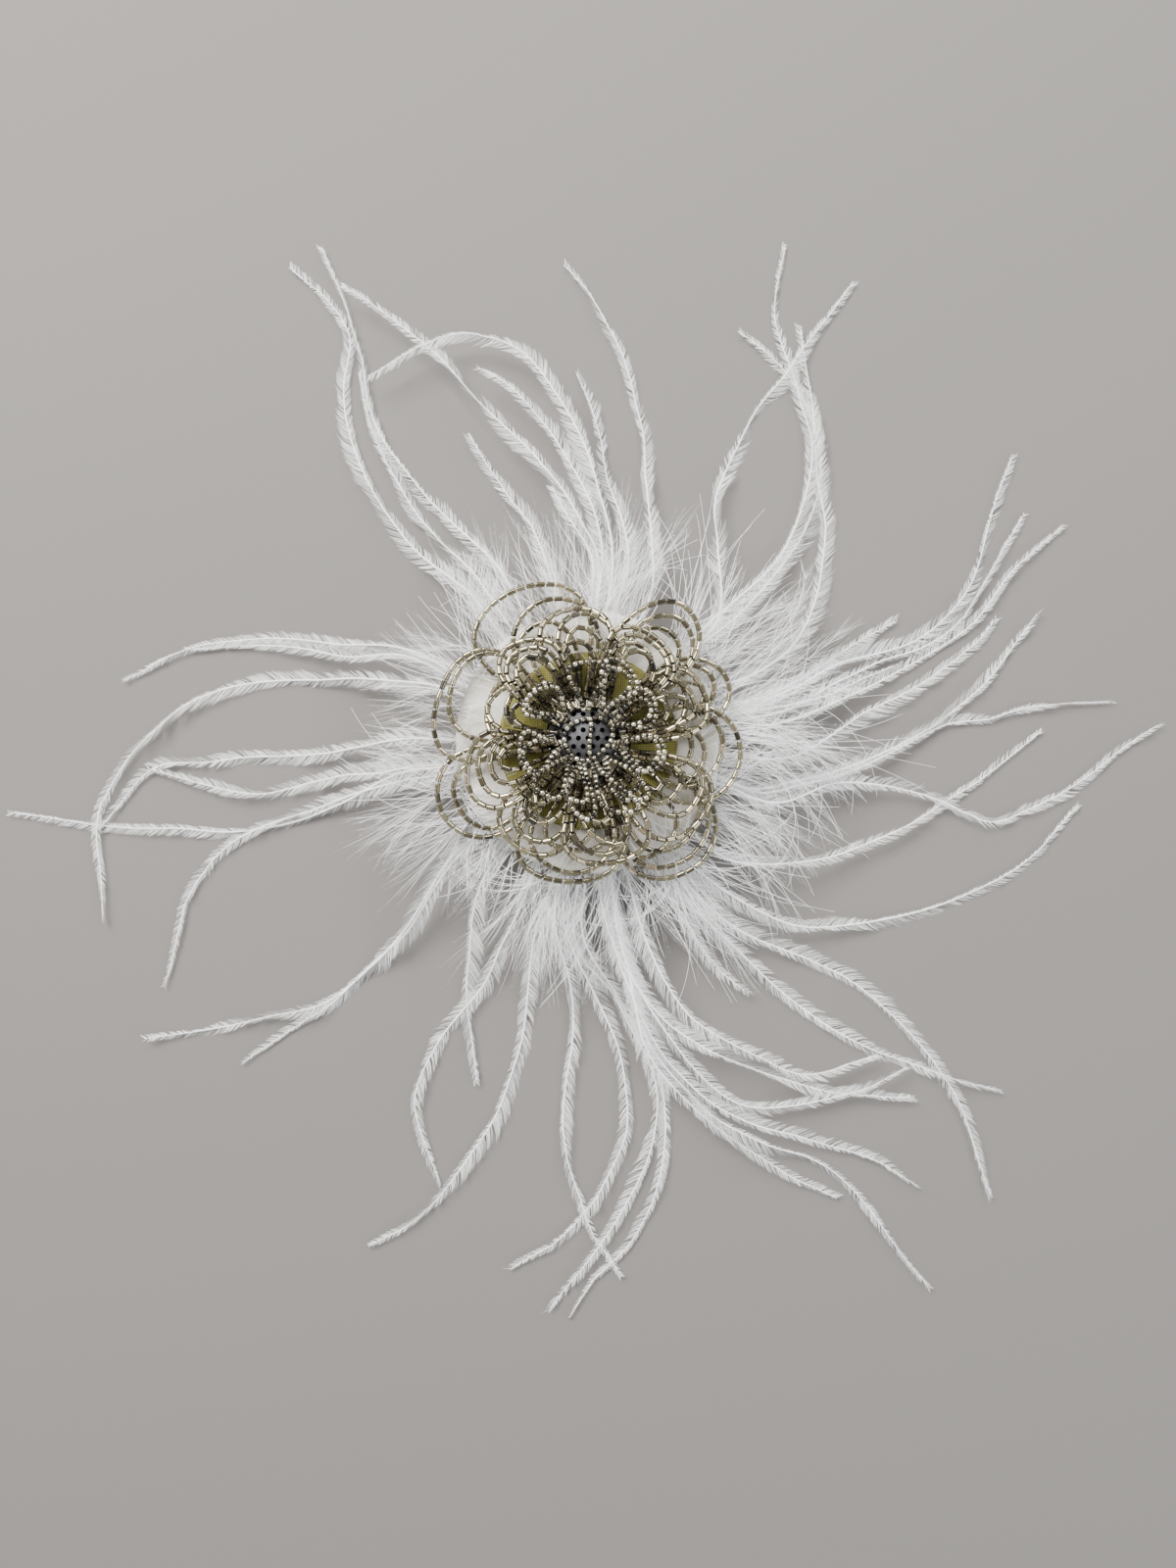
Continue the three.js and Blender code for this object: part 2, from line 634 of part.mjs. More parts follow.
// ---- Marabou fluff ----
function addMarabou() {
  const lobes = 5;
  const centre = { radius: 46, z: 12.9 };
  const half = { along: 13, across: 21, thick: 1.9 };
  for (let i = 0; i < lobes; i++) {
    const lobe = new THREE.SphereGeometry(1, 14, 8)
      .scale(half.along, half.across, half.thick)
      .translate(centre.radius, 0, centre.z);
    const stalk = block(
      [stalks.from, -stalks.thick / 2, stalkBottom],
      [centre.radius - 4, stalks.thick / 2, stalkBottom + stalks.thick],
    );
    const bearing = 18 + (i * 360) / lobes;
    const geometry = toGeometry(join([lobe, stalk])).rotateZ(radians(bearing));
    addPiece(`marabou_tuft_${i + 1}`, geometry, marabou);
  }
}

addClip();
addBroochPin();
addDiscs();
addSieveDome();
addPetals();
addOstrich();
addMarabou();

export default flower;
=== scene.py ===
# %% [markdown]
# # A feather and bead flower
# The object is a brooch that also clips into hair: looped strands of glass beads, sewn through a small
# perforated dome, sit on two fabric discs, and white down and long ostrich strands spread from between
# them. The CAD frame gives every place. Each cell below makes one kind of piece around it.

# %% Load the frame
import math
import bpy
import numpy as np
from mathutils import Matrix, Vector
from mathutils.geometry import delaunay_2d_cdt


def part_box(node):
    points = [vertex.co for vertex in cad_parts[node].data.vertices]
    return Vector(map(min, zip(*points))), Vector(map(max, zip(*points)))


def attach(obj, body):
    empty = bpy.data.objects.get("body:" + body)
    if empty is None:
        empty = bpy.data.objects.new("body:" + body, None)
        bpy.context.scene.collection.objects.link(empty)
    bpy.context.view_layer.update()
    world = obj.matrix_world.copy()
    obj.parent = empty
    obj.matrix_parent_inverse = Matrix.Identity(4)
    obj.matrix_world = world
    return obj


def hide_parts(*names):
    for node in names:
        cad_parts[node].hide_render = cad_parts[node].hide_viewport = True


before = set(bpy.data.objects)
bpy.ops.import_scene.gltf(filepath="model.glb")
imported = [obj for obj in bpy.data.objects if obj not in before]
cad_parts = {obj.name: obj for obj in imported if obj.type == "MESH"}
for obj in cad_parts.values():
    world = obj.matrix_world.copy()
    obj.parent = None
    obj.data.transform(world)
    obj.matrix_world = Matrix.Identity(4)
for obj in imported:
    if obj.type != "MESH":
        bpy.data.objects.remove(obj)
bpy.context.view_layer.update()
MM = 0.001

# %% [markdown]
# ## Camera
# The flower lies on its clip and is seen from almost straight above, by someone who stands at its lower
# edge and leans over it. A wide lens, close by, makes the raised beads look a little larger than what
# lies on the floor. So the camera stands less than 30 cm above and tips a few degrees.

# %% Camera
CAMERA_DISTANCE = 0.290
CAMERA_TILT = math.radians(4)
LONG_SIDE_VIEW = math.radians(67)
LOOK_AT = Vector((0, -0.0091, 0))
SENSOR = 36
NEAREST = 0.01

camera = bpy.data.objects.new("camera", bpy.data.cameras.new("camera"))
bpy.context.scene.collection.objects.link(camera)
away = Vector((0, -math.sin(CAMERA_TILT), math.cos(CAMERA_TILT)))
camera.location = LOOK_AT + away * CAMERA_DISTANCE
camera.rotation_euler = (CAMERA_TILT, 0, 0)
camera.data.sensor_width = SENSOR
camera.data.lens = SENSOR / 2 / math.tan(LONG_SIDE_VIEW / 2)
camera.data.clip_start = NEAREST
bpy.context.scene.camera = camera
print("lens, mm:", round(camera.data.lens, 1))

# %% [markdown]
# ## Colours and nodes
# Colours are written as the sRGB hex codes that a paint chart gives, and the shader wants linear light,
# so one function turns one into the other. Another adds a node, sets it and links it, and every
# material below is built from those two.

# %% Colour and node helpers
def colour(code):
    """An sRGB hex code as a linear colour with full alpha, by the numbers of the sRGB standard."""
    parts = [int(code[i : i + 2], 16) / 255 for i in (0, 2, 4)]
    return [c / 12.92 if c <= 0.04045 else ((c + 0.055) / 1.055) ** 2.4 for c in parts] + [1.0]


def put(tree, kind, sockets=None, **settings):
    """Adds a node, sets its properties, and sets or links its input sockets."""
    node = tree.nodes.new(kind)
    for name, value in settings.items():
        setattr(node, name, value)
    for name, value in (sockets or {}).items():
        if isinstance(value, bpy.types.NodeSocket):
            tree.links.new(value, node.inputs[name])
        else:
            node.inputs[name].default_value = value
    return node


def new_material(name):
    """A material with an empty node tree."""
    material = bpy.data.materials.new(name)
    material.use_nodes = True
    material.node_tree.nodes.clear()
    return material, material.node_tree


def surface(tree, sockets):
    """Ends a tree in one Principled shader."""
    shader = put(tree, "ShaderNodeBsdfPrincipled", sockets)
    put(tree, "ShaderNodeOutputMaterial", {"Surface": shader.outputs[0]})


def ramp(tree, value, stops):
    """A colour ramp over a value, from a list of (place, hex code)."""
    node = put(tree, "ShaderNodeValToRGB", {0: value})
    while len(node.color_ramp.elements) < len(stops):
        node.color_ramp.elements.new(0.5)
    for element, (place, code) in zip(node.color_ramp.elements, stops):
        element.position = place
        element.color = colour(code)
    return node.outputs[0]


def tone_of(tree):
    """The tone that each bead or barb was given when its mesh was made."""
    return put(tree, "ShaderNodeAttribute", attribute_name="tone").outputs["Fac"]


print("mid grey as linear light:", round(colour("808080")[0], 3))

# %% [markdown]
# ## Floor and light
# A plain pale floor lets the white feathers read by their own shade. One large soft light from the upper
# left gives the strands a lit side, a weaker one opposite keeps the shade open, and a narrow one puts
# the bright lines on the beads. Glass and metal show what they mirror, so a room of greys stands round
# them all.

# %% Floor
FLOOR_HALF = 1.5


def add_floor():
    """A matt grey board, wide enough to fill the view."""
    material, tree = new_material("pale_matt_floor")
    surface(tree, {"Base Color": colour("716E6B"), "Roughness": 0.85})
    mesh = bpy.data.meshes.new("floor")
    corners = [(-1, -1), (1, -1), (1, 1), (-1, 1)]
    mesh.from_pydata([(x * FLOOR_HALF, y * FLOOR_HALF, 0) for x, y in corners], [], [(0, 1, 2, 3)])
    mesh.materials.append(material)
    floor = bpy.data.objects.new("floor", mesh)
    bpy.context.scene.collection.objects.link(floor)


add_floor()
print("floor, m across:", 2 * FLOOR_HALF)

# %% Room and lights
ROOM_GREYS = [(0.0, "8E8E8E"), (0.5, "6E6E6E"), (0.7, "DADBDC"), (0.88, "E4E5E6"), (0.96, "6A6A6A")]
ROOM_STRENGTH = 1.15
# name, place, size, watts, tint
LIGHTS = [
    ("window", (-0.45, 0.55, 0.75), (0.5, 0.5), 28.0, "FFFCF8"),
    ("fill", (0.7, -0.35, 0.6), (0.5, 0.5), 5.0, "F6F9FF"),
    ("strip", (0.25, 0.5, 0.45), (0.08, 0.5), 3.0, "FFFFFF"),
]


def add_room():
    """A room with bright walls and a darker ceiling, so that glass and metal have edges to show."""
    world = bpy.data.worlds.new("room")
    world.use_nodes = True
    tree = world.node_tree
    tree.nodes.clear()
    way = put(tree, "ShaderNodeTexCoord").outputs["Generated"]
    height = put(tree, "ShaderNodeSeparateXYZ", {0: way}).outputs[2]
    share = put(tree, "ShaderNodeMapRange", {"Value": height, "From Min": -1.0}).outputs[0]
    sky = ramp(tree, share, ROOM_GREYS)
    glow = put(tree, "ShaderNodeBackground", {"Color": sky, "Strength": ROOM_STRENGTH})
    put(tree, "ShaderNodeOutputWorld", {"Surface": glow.outputs[0]})
    bpy.context.scene.world = world


def add_light(name, place, size, watts, tint):
    """A soft rectangle of light that faces the flower."""
    lamp = bpy.data.lights.new(name, "AREA")
    lamp.shape = "RECTANGLE"
    lamp.size, lamp.size_y = size
    lamp.energy = watts
    lamp.color = colour(tint)[:3]
    light = bpy.data.objects.new(name, lamp)
    light.location = place
    light.rotation_euler = (-Vector(place)).to_track_quat("-Z", "Y").to_euler()
    bpy.context.scene.collection.objects.link(light)


add_room()
for lamp in LIGHTS:
    add_light(*lamp)
print("lights:", len(LIGHTS))

# %% [markdown]
# ## Meshes from arrays
# There are tens of thousands of barbs and beads, so they are made as number arrays and turned into a
# mesh in one go. A heap collects points and faces, with one tone for each point, which the materials
# read to make no two beads or barbs quite alike.

# %% The heap
class Heap:
    """Points, faces and tones that become one mesh."""

    def __init__(self):
        self.points, self.tones, self.faces, self.total = [], [], [], 0

    def add(self, points, faces, tone, finish=0, smooth=True):
        """Adds points with their tone, and faces that count from the first of these points."""
        points = np.asarray(points, float).reshape(-1, 3)
        self.points.append(points)
        self.tones.append(np.broadcast_to(tone, len(points)).astype(np.float32))
        self.total += len(points)
        self.add_faces(faces, self.total - len(points), finish, smooth)

    def add_faces(self, faces, start, finish=0, smooth=True):
        """Adds faces that count from the point start. The finish is the number of their material."""
        faces = np.asarray(faces, np.int32)
        self.faces.append((faces + start, finish, np.broadcast_to(smooth, len(faces))))

    def build(self, name, materials):
        """Turns the heap into an object, from millimetres to metres."""
        mesh = bpy.data.meshes.new(name)
        corners = np.concatenate([f.ravel() for f, _, _ in self.faces])
        sizes = np.concatenate([np.full(len(f), f.shape[1]) for f, _, _ in self.faces])
        mesh.vertices.add(self.total)
        mesh.vertices.foreach_set("co", (np.concatenate(self.points) * MM).ravel())
        mesh.loops.add(len(corners))
        mesh.loops.foreach_set("vertex_index", corners)
        mesh.polygons.add(len(sizes))
        mesh.polygons.foreach_set("loop_start", np.concatenate([[0], np.cumsum(sizes)[:-1]]))
        mesh.polygons.foreach_set(
            "material_index", np.concatenate([np.full(len(f), k) for f, k, _ in self.faces])
        )
        mesh.polygons.foreach_set("use_smooth", np.concatenate([flags for _, _, flags in self.faces]))
        mesh.attributes.new("tone", "FLOAT", "POINT").data.foreach_set(
            "value", np.concatenate(self.tones)
        )
        mesh.update(calc_edges=True)
        for material in materials:
            mesh.materials.append(material)
        piece = bpy.data.objects.new(name, mesh)
        bpy.context.scene.collection.objects.link(piece)
        return piece


def stand_for(piece, body, slot, *nodes):
    """Puts a piece on its body in place of its CAD nodes."""
    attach(piece, body)
    if nodes:
        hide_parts(*nodes)


print("CAD nodes to dress:", len(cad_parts))

# %% [markdown]
# Strands, hairs and threads all follow lines, and a line is an array of points in millimetres. A few
# given points become a smooth line by a Catmull-Rom curve, because it passes through every one of
# them. Its knots follow the square roots of the distances, so that it never loops where two are close.

# %% Lines
CURVE_POINTS = 24  # between two given points


def unit(v):
    """Vectors cut or stretched to length one."""
    return v / np.maximum(np.linalg.norm(v, axis=-1, keepdims=True), 1e-9)


def smoothstep(low, high, value):
    """0 below low, 1 above high, and a soft slope between them."""
    t = np.clip((value - low) / (high - low), 0, 1)
    return t * t * (3 - 2 * t)


def smooth_line(points, step):
    """Points a step apart along a smooth curve through the given ones."""
    p = np.asarray(points, float)
    p = np.vstack([2 * p[0] - p[1], p, 2 * p[-1] - p[-2]])
    knots = np.concatenate([[0], np.cumsum(np.sqrt(np.linalg.norm(np.diff(p, axis=0), axis=1)))])
    parts = []
    for i in range(len(p) - 3):
        a, b, c, d = p[i : i + 4]
        ta, tb, tc, td = knots[i : i + 4]
        t = np.linspace(tb, tc, CURVE_POINTS, endpoint=i == len(p) - 4)[:, None]
        ab = (tb - t) / (tb - ta) * a + (t - ta) / (tb - ta) * b
        bc = (tc - t) / (tc - tb) * b + (t - tb) / (tc - tb) * c
        cd = (td - t) / (td - tc) * c + (t - tc) / (td - tc) * d
        abc = (tc - t) / (tc - ta) * ab + (t - ta) / (tc - ta) * bc
        bcd = (td - t) / (td - tb) * bc + (t - tb) / (td - tb) * cd
        parts.append((tc - t) / (tc - tb) * abc + (t - tb) / (tc - tb) * bcd)
    return even_line(np.vstack(parts), step)


def even_line(line, step):
    """The same line with its points a step apart."""
    gone = np.concatenate([[0], np.cumsum(np.linalg.norm(np.diff(line, axis=0), axis=1))])
    places = np.linspace(0, gone[-1], max(3, int(gone[-1] / step) + 1))
    return np.stack([np.interp(places, gone, line[:, k]) for k in range(3)], axis=1)


def slow_noise(rng, count, wave, size):
    """A smooth random curve: count values that swing by about size, with bends some wave points long."""
    rough = rng.normal(0, size, max(4, int(count / wave) + 3))
    return np.interp(np.linspace(0, len(rough) - 1, count), np.arange(len(rough)), rough)


def frames_along(line):
    """The direction of a line at each point, and the two across it: one level and one upright."""
    along = unit(np.gradient(line, axis=0))
    side = unit(np.cross(along, [0, 0, 1]))
    return along, side, np.cross(side, along)


def between(values, low, part):
    """Values on the way from row low to the next row, for a part of that way."""
    return values[low] * (1 - part) + values[low + 1] * part


def tube_faces(rows, sides):
    """Quads that join each row of points round a tube to the next row."""
    i = np.arange(rows - 1)[:, None] * sides
    k = np.arange(sides)[None]
    after = (k + 1) % sides
    return np.stack([i + k, i + after, i + sides + after, i + sides + k], -1).reshape(-1, 4)


sample_line = smooth_line([(0, 0, 0), (5, 2, 0), (10, 0, 0)], 0.5)
print("points 0.5 mm apart on an arch 10 mm wide:", len(sample_line))

# %% [markdown]
# ## Ostrich strands
# An ostrich plume has no hooks between its barbs, so each barb hangs free as a strand of its own: a thin
# shaft with short soft barbules swept forward on both sides, like a narrow fern. The barbules stick
# together in small clumps, and the strand twists as it goes, so its width comes and goes. Hair curves
# would be quick, but they leave no mesh behind, so each barbule is a curved, tapering blade of its own.

# %% Materials of the feathers
def feather_material(name, shade, light):
    """Bleached keratin: matt, with a faint sheen, and painted shade towards each barbule's tip."""
    material, tree = new_material(name)
    surface(
        tree,
        {
            "Base Color": ramp(tree, tone_of(tree), [(0.0, shade), (1.0, light)]),
            "Roughness": 0.62,
            "IOR": 1.55,
            "Sheen Weight": 0.15,
        },
    )
    return material


ostrich_white = feather_material("bleached_ostrich", "D2D4D3", "FFFFFF")
down_white = feather_material("marabou_down", "F0F0EE", "FFFFFF")
print("feather materials:", ostrich_white.name, down_white.name)

# %% [markdown]
# A strand has two parts. The shaft is a thin tube that tapers. Each barbule starts across the shaft,
# bends towards the strand's tip, droops a little and narrows to a point: a left and a right edge at three
# stations, and then the tip. A whole row of barbules is worked out at once, as one array, because a loop
# over tens of thousands of them would take minutes.

# %% Shaft and barbules
QUILL_SIDES = 5
STATIONS = np.array([0.0, 0.35, 0.7, 1.0])
BLADE_POINTS = 7
BLADE_QUADS = ([0, 1, 3, 2], [2, 3, 5, 4])
BLADE_TIP = [4, 5, 6]
BLADE_SHADE = np.repeat([0.28, 0.1, -0.1, -0.2], [2, 2, 2, 1])  # lighter at the root
TAPER_POWER, TAPER = 1.6, 0.7
TONE_SPREAD = 0.2
LEAN_SPREAD = 6
DROOP_SPREAD, DROOP_SHARE = 0.25, 0.3
LENGTH_RANGE = (0.75, 1.12)
MOST_LOPSIDED = 0.6


def add_shaft(heap, line, thick, tone, finish=0):
    """A tapering quill along a line, closed at both ends."""
    _, side, up = frames_along(line)
    turn = np.arange(QUILL_SIDES) * 2 * math.pi / QUILL_SIDES
    radius = np.interp(np.linspace(0, 1, len(line)), [0, 1], thick)[:, None, None]
    rings = line[:, None] + radius * (
        np.cos(turn)[None, :, None] * side[:, None] + np.sin(turn)[None, :, None] * up[:, None]
    )
    heap.add(rings, tube_faces(len(line), QUILL_SIDES), tone, finish)
    cap = list(range(QUILL_SIDES))
    heap.add_faces([cap[::-1]], heap.total - len(line) * QUILL_SIDES, finish)
    heap.add_faces([cap], heap.total - QUILL_SIDES, finish)


def bent_barbules(root, ahead, across, reach, look, rng):
    """Middle lines that curve from across the shaft to along it, and the direction of their width."""
    count = len(root)
    first = np.radians(rng.normal(look["lean"][0], LEAN_SPREAD, count))[:, None]
    last = np.radians(rng.normal(look["lean"][1], look["curl"], count))[:, None]
    bend = first + (last - first) * STATIONS[None]
    way = np.cos(bend)[..., None] * ahead[:, None] + np.sin(bend)[..., None] * across[:, None]
    flat = -np.sin(bend)[..., None] * ahead[:, None] + np.cos(bend)[..., None] * across[:, None]
    step = np.diff(STATIONS)[None, :, None] * reach[:, None, None]
    walk = np.cumsum((way[:, 1:] + way[:, :-1]) / 2 * step, 1)
    place = root[:, None] + np.concatenate([np.zeros((count, 1, 3)), walk], 1)
    droop = rng.normal(look["droop"], DROOP_SPREAD, count)[:, None] * reach[:, None]
    place[..., 2] -= droop * STATIONS[None] ** 2 * DROOP_SHARE
    return place, flat


def clumped(place, distance, look):
    """The same lines, with the tips of each clump drawn towards their middle."""
    group = (distance / look["clump"]).astype(int)
    members = np.bincount(group)[group][:, None]
    mean = np.stack([np.bincount(group, place[:, -1, k])[group] for k in range(3)], 1) / members
    pull = look["clumping"] * (mean - place[:, -1])
    return place + pull[:, None] * (STATIONS[None, :, None] ** 2)


def add_blades(heap, place, flat, look, rng):
    """A flat blade along each middle line, narrowing to its tip."""
    count = len(place)
    wide = look["width"] / 2 * (1 - STATIONS[None, :-1, None] ** TAPER_POWER * TAPER)
    blade = np.empty((count, BLADE_POINTS, 3))
    blade[:, 0:-1:2] = place[:, :-1] - flat[:, :-1] * wide
    blade[:, 1:-1:2] = place[:, :-1] + flat[:, :-1] * wide
    blade[:, -1] = place[:, -1]
    blade[..., 2] = np.maximum(blade[..., 2], look["floor"])
    tone = np.clip(rng.normal(look["tone"], TONE_SPREAD, (count, 1)) + BLADE_SHADE, 0, 1).ravel()
    base = np.arange(count)[:, None] * BLADE_POINTS
    heap.add(blade, np.concatenate([base + quad for quad in BLADE_QUADS]), tone)
    heap.add_faces(base + BLADE_TIP, heap.total - count * BLADE_POINTS)


def add_barbules(heap, line, rng, look, size=1.0):
    """Two rows of barbules along a line, clumped at their tips. Returns their middle lines."""
    length = np.linalg.norm(np.diff(line, axis=0), axis=1).sum()
    count = int(length / look["pitch"])
    along, side, up = frames_along(line)
    twist = slow_noise(rng, len(line), look["twist_wave"], look["twist"])[:, None]
    lopsided = slow_noise(rng, len(line), look["twist_wave"], look["lopsided"])[:, None]
    lopsided = np.clip(lopsided, -MOST_LOPSIDED, MOST_LOPSIDED)
    lines = []
    for sign in (-1.0, 1.0):
        share = np.sort(rng.random(count))
        at = share * (len(line) - 1)
        low = np.minimum(at.astype(int), len(line) - 2)
        part = (at - low)[:, None]
        roll = between(twist, low, part) + rng.normal(0, look["fuzz"], count)[:, None]
        level, upright = (unit(between(way, low, part)) for way in (side, up))
        across = sign * level * np.cos(roll) + upright * np.sin(roll)
        grow = np.interp(share, look["grow_at"], look["grow"])
        swing = between(1 + sign * lopsided, low, part)[:, 0]
        reach = look["length"] * size * grow * rng.uniform(*LENGTH_RANGE, count) * swing
        root, ahead = between(line, low, part), unit(between(along, low, part))
        place, flat = bent_barbules(root, ahead, across, reach, look, rng)
        place = clumped(place, share * length, look)
        add_blades(heap, place, flat, look, rng)
        lines.append(place)
    return np.concatenate(lines)


sample = Heap()
add_shaft(sample, sample_line, (0.3, 0.1), 1.0)
print("points in the shaft of a sample strand:", sample.total)

# %% [markdown]
# The strands' routes are listed: a few points each, from where the strand leaves the felt to its
# tip, in millimetres from the flower's axis. They are the same as in the CAD source. A strand leaves the
# felt at the height of its tie and sinks to the floor further out, some later than others, so that
# crossing tufts pass over each other.

# %% The tufts of ostrich strands
FELT_RADIUS = 31.4
QUILL_HEIGHT = 9.8
TIE_RADII = (21.0, 23.0)
STRAND_RADIUS = 0.8
# name, bearing of the tie, distance and height at which it lands, and the strands' routes
TUFTS = [
    ("ostrich_right_upper", 8, 85, 0, [
        [(47, -3), (68, 8), (84, 17), (96, 26), (100, 32)],
        [(34, 6), (60, 19), (82, 27), (94, 39), (99, 55), (105, 73)],
        [(47, 8), (71, 21), (86, 26), (97, 39), (108, 58)],
        [(47, 5), (76, 19), (94, 30), (105, 44), (118, 55)],
        [(44, 12), (63, 24), (76, 31)],
        [(51, 10), (69, 17), (76, 20)],
    ]),
    ("ostrich_top_right", 38, 80, 0, [
        [(31, 29), (32, 48), (31, 61), (38, 77), (52, 97), (67, 117)],
        [(36, 35), (47, 46), (54, 62), (56, 76), (53, 89), (47, 109), (50, 127)],
        [(39, 34), (50, 48), (57, 62), (57, 78), (51, 92), (44, 100), (38, 105)],
        [(48, 22), (56, 36), (59, 53), (57, 69), (55, 89), (53, 106)],
    ]),
    ("ostrich_top", 68, 80, 0, [
        [(15, 36), (15, 64), (12, 85), (7, 103), (-1, 116), (-6, 122)],
        [(10, 46), (5, 65), (0, 86), (-3, 94)],
    ]),
    ("ostrich_top_swept", 88, 125, 4.6, [
        [(6, 46), (1, 69), (-6, 84), (-15, 96), (-27, 102), (-39, 99), (-54, 91)],
        [(3, 52), (-7, 73), (-21, 89), (-27, 93)],
        [(2, 47), (-13, 70), (-27, 85), (-39, 98), (-54, 110), (-61, 114)],
        [(1, 44), (-3, 52), (-9, 62)],
    ]),
    ("ostrich_top_left", 118, 70, 0, [
        [(-11, 46), (-19, 62), (-30, 78)],
        [(-21, 42), (-35, 57), (-51, 77), (-57, 98), (-60, 110), (-67, 126)],
        [(-27, 41), (-45, 62), (-53, 77), (-57, 94)],
        [(-29, 37), (-48, 55), (-58, 74), (-61, 91), (-60, 104), (-75, 121)],
    ]),
    ("ostrich_left_upper", 150, 90, 0, [
        [(-44, 21), (-60, 22), (-78, 25), (-98, 24)],
        [(-44, 23), (-60, 24), (-78, 27), (-98, 24), (-114, 16)],
    ]),
    ("ostrich_left", 177, 75, 0, [
        [(-38, 14), (-71, 17), (-95, 12), (-107, 3), (-118, -13), (-119, -22), (-117, -42)],
        [(-44, 1), (-67, -2), (-90, -4), (-106, -6), (-119, -21)],
        [(-44, -6), (-64, -9), (-83, -11), (-94, -9), (-107, -5)],
        [(-44, -7), (-60, -14), (-79, -20), (-102, -20), (-117, -19), (-141, -16)],
        [(-44, -9), (-56, -12), (-69, -16), (-87, -24), (-94, -31), (-102, -58)],
    ]),
    ("ostrich_left_lower", 220, 85, 0, [
        [(-31, -26), (-44, -44), (-52, -53), (-61, -61), (-83, -67), (-106, -70)],
        [(-32, -28), (-44, -45), (-52, -53), (-61, -62), (-69, -67), (-83, -76)],
    ]),
    ("ostrich_bottom_left", 244, 70, 0, [
        [(-25, -33), (-29, -53), (-29, -61), (-28, -71), (-27, -81)],
        [(-17, -41), (-24, -56), (-35, -70), (-41, -84), (-40, -92), (-35, -105)],
        [(-12, -44), (-15, -66), (-21, -87), (-33, -105), (-41, -113), (-52, -119)],
    ]),
    ("ostrich_bottom", 265, 65, 0, [
        [(-8, -41), (-4, -59), (-4, -71), (-6, -92), (-1, -112), (8, -126)],
        [(-6, -42), (1, -59), (8, -75), (9, -92), (0, -111), (-18, -125)],
        [(-3, -46), (6, -61), (16, -80), (16, -92), (10, -108), (-9, -134)],
        [(-1, -46), (8, -62), (17, -80), (18, -97), (12, -115), (-5, -135)],
    ]),
    ("ostrich_bottom_right", 284, 135, 0, [
        [(4, -42), (14, -61), (28, -72), (48, -80), (69, -84), (78, -84)],
        [(14, -48), (20, -59), (32, -70), (51, -78), (69, -74)],
        [(8, -47), (15, -63), (27, -79), (38, -86), (64, -82), (76, -77)],
        [(6, -46), (18, -75), (35, -88), (51, -94), (67, -99), (79, -105)],
        [(9, -52), (14, -70), (25, -84), (41, -94), (59, -102), (81, -129)],
        [(9, -50), (14, -73), (25, -86), (41, -98), (59, -108)],
    ]),
    ("ostrich_right_lower", 302, 80, 0, [
        [(24, -34), (37, -45), (53, -52), (66, -59), (78, -70), (88, -84), (96, -108)],
        [(23, -37), (37, -51), (53, -64), (69, -73), (85, -79), (99, -83)],
        [(20, -37), (26, -47), (32, -54), (38, -60)],
    ]),
    ("ostrich_right", 334, 95, 0, [
        [(28, -32), (42, -41), (52, -44), (72, -42), (92, -36), (109, -26), (119, -14)],
        [(34, -28), (54, -28), (76, -20), (91, -11), (111, 4)],
        [(44, -14), (60, -9), (76, -10), (92, -16), (100, -18), (116, -11), (140, 6)],
        [(40, -11), (63, -5), (82, 4), (97, 15), (111, 33)],
        [(42, -12), (63, -6), (82, 3), (99, 8), (129, 11)],
    ]),
]
OSTRICH_LOOK = {
    "pitch": 0.19,  # from barbule to barbule, on each side
    "length": 3.6,
    "lean": (50, 24),  # degrees off the shaft, at the root and at the tip
    "curl": 8,  # how much the lean of the tips varies
    "width": 0.085,
    "clump": 1.0,  # the length of shaft that one clump takes up
    "clumping": 0.72,  # how far its tips come together
    "twist": 0.7,  # radians
    "twist_wave": 36,  # points from one bend of the twist to the next
    "lopsided": 0.38,  # how much longer one side is than the other
    "fuzz": 0.28,  # radians out of the plane
    "droop": 0.12,
    "grow_at": (0.0, 0.15, 0.35, 0.75, 1.0),  # places along the shaft
    "grow": (0.7, 1.15, 1.1, 0.85, 0.4),  # and how long the barbules are there
    "tone": 0.45,
    "floor": 0.05,
}
print("ostrich tufts:", len(TUFTS))

# %% [markdown]
# A tuft's routes become lines here. A strand is pinned at its tie and only sways where it is free, so the
# waves grow from nothing at the felt's edge.

# %% Lay the ostrich strands
STRAND_STEP = 0.5
UNDER_EDGE = 1
FREE_AFTER = 25
SIDE_WAVE, LIFT_WAVE = (24, 0.35), (30, 0.5)  # points from bend to bend, and size
LOWEST = 0.5
OSTRICH_SHAFT, OSTRICH_SHAFT_TONE = (0.32, 0.1), 1.0
OSTRICH_SIZES = (0.8, 1.15)
SHAFT_STEP = 3  # a shaft needs fewer points than the barbules on it
OSTRICH_SEED, SEEDS_PER_TUFT = 1000, 20


def on_bearing(bearing, radius):
    """The place at a bearing in degrees and a distance from the flower's axis."""
    return (radius * math.cos(math.radians(bearing)), radius * math.sin(math.radians(bearing)))


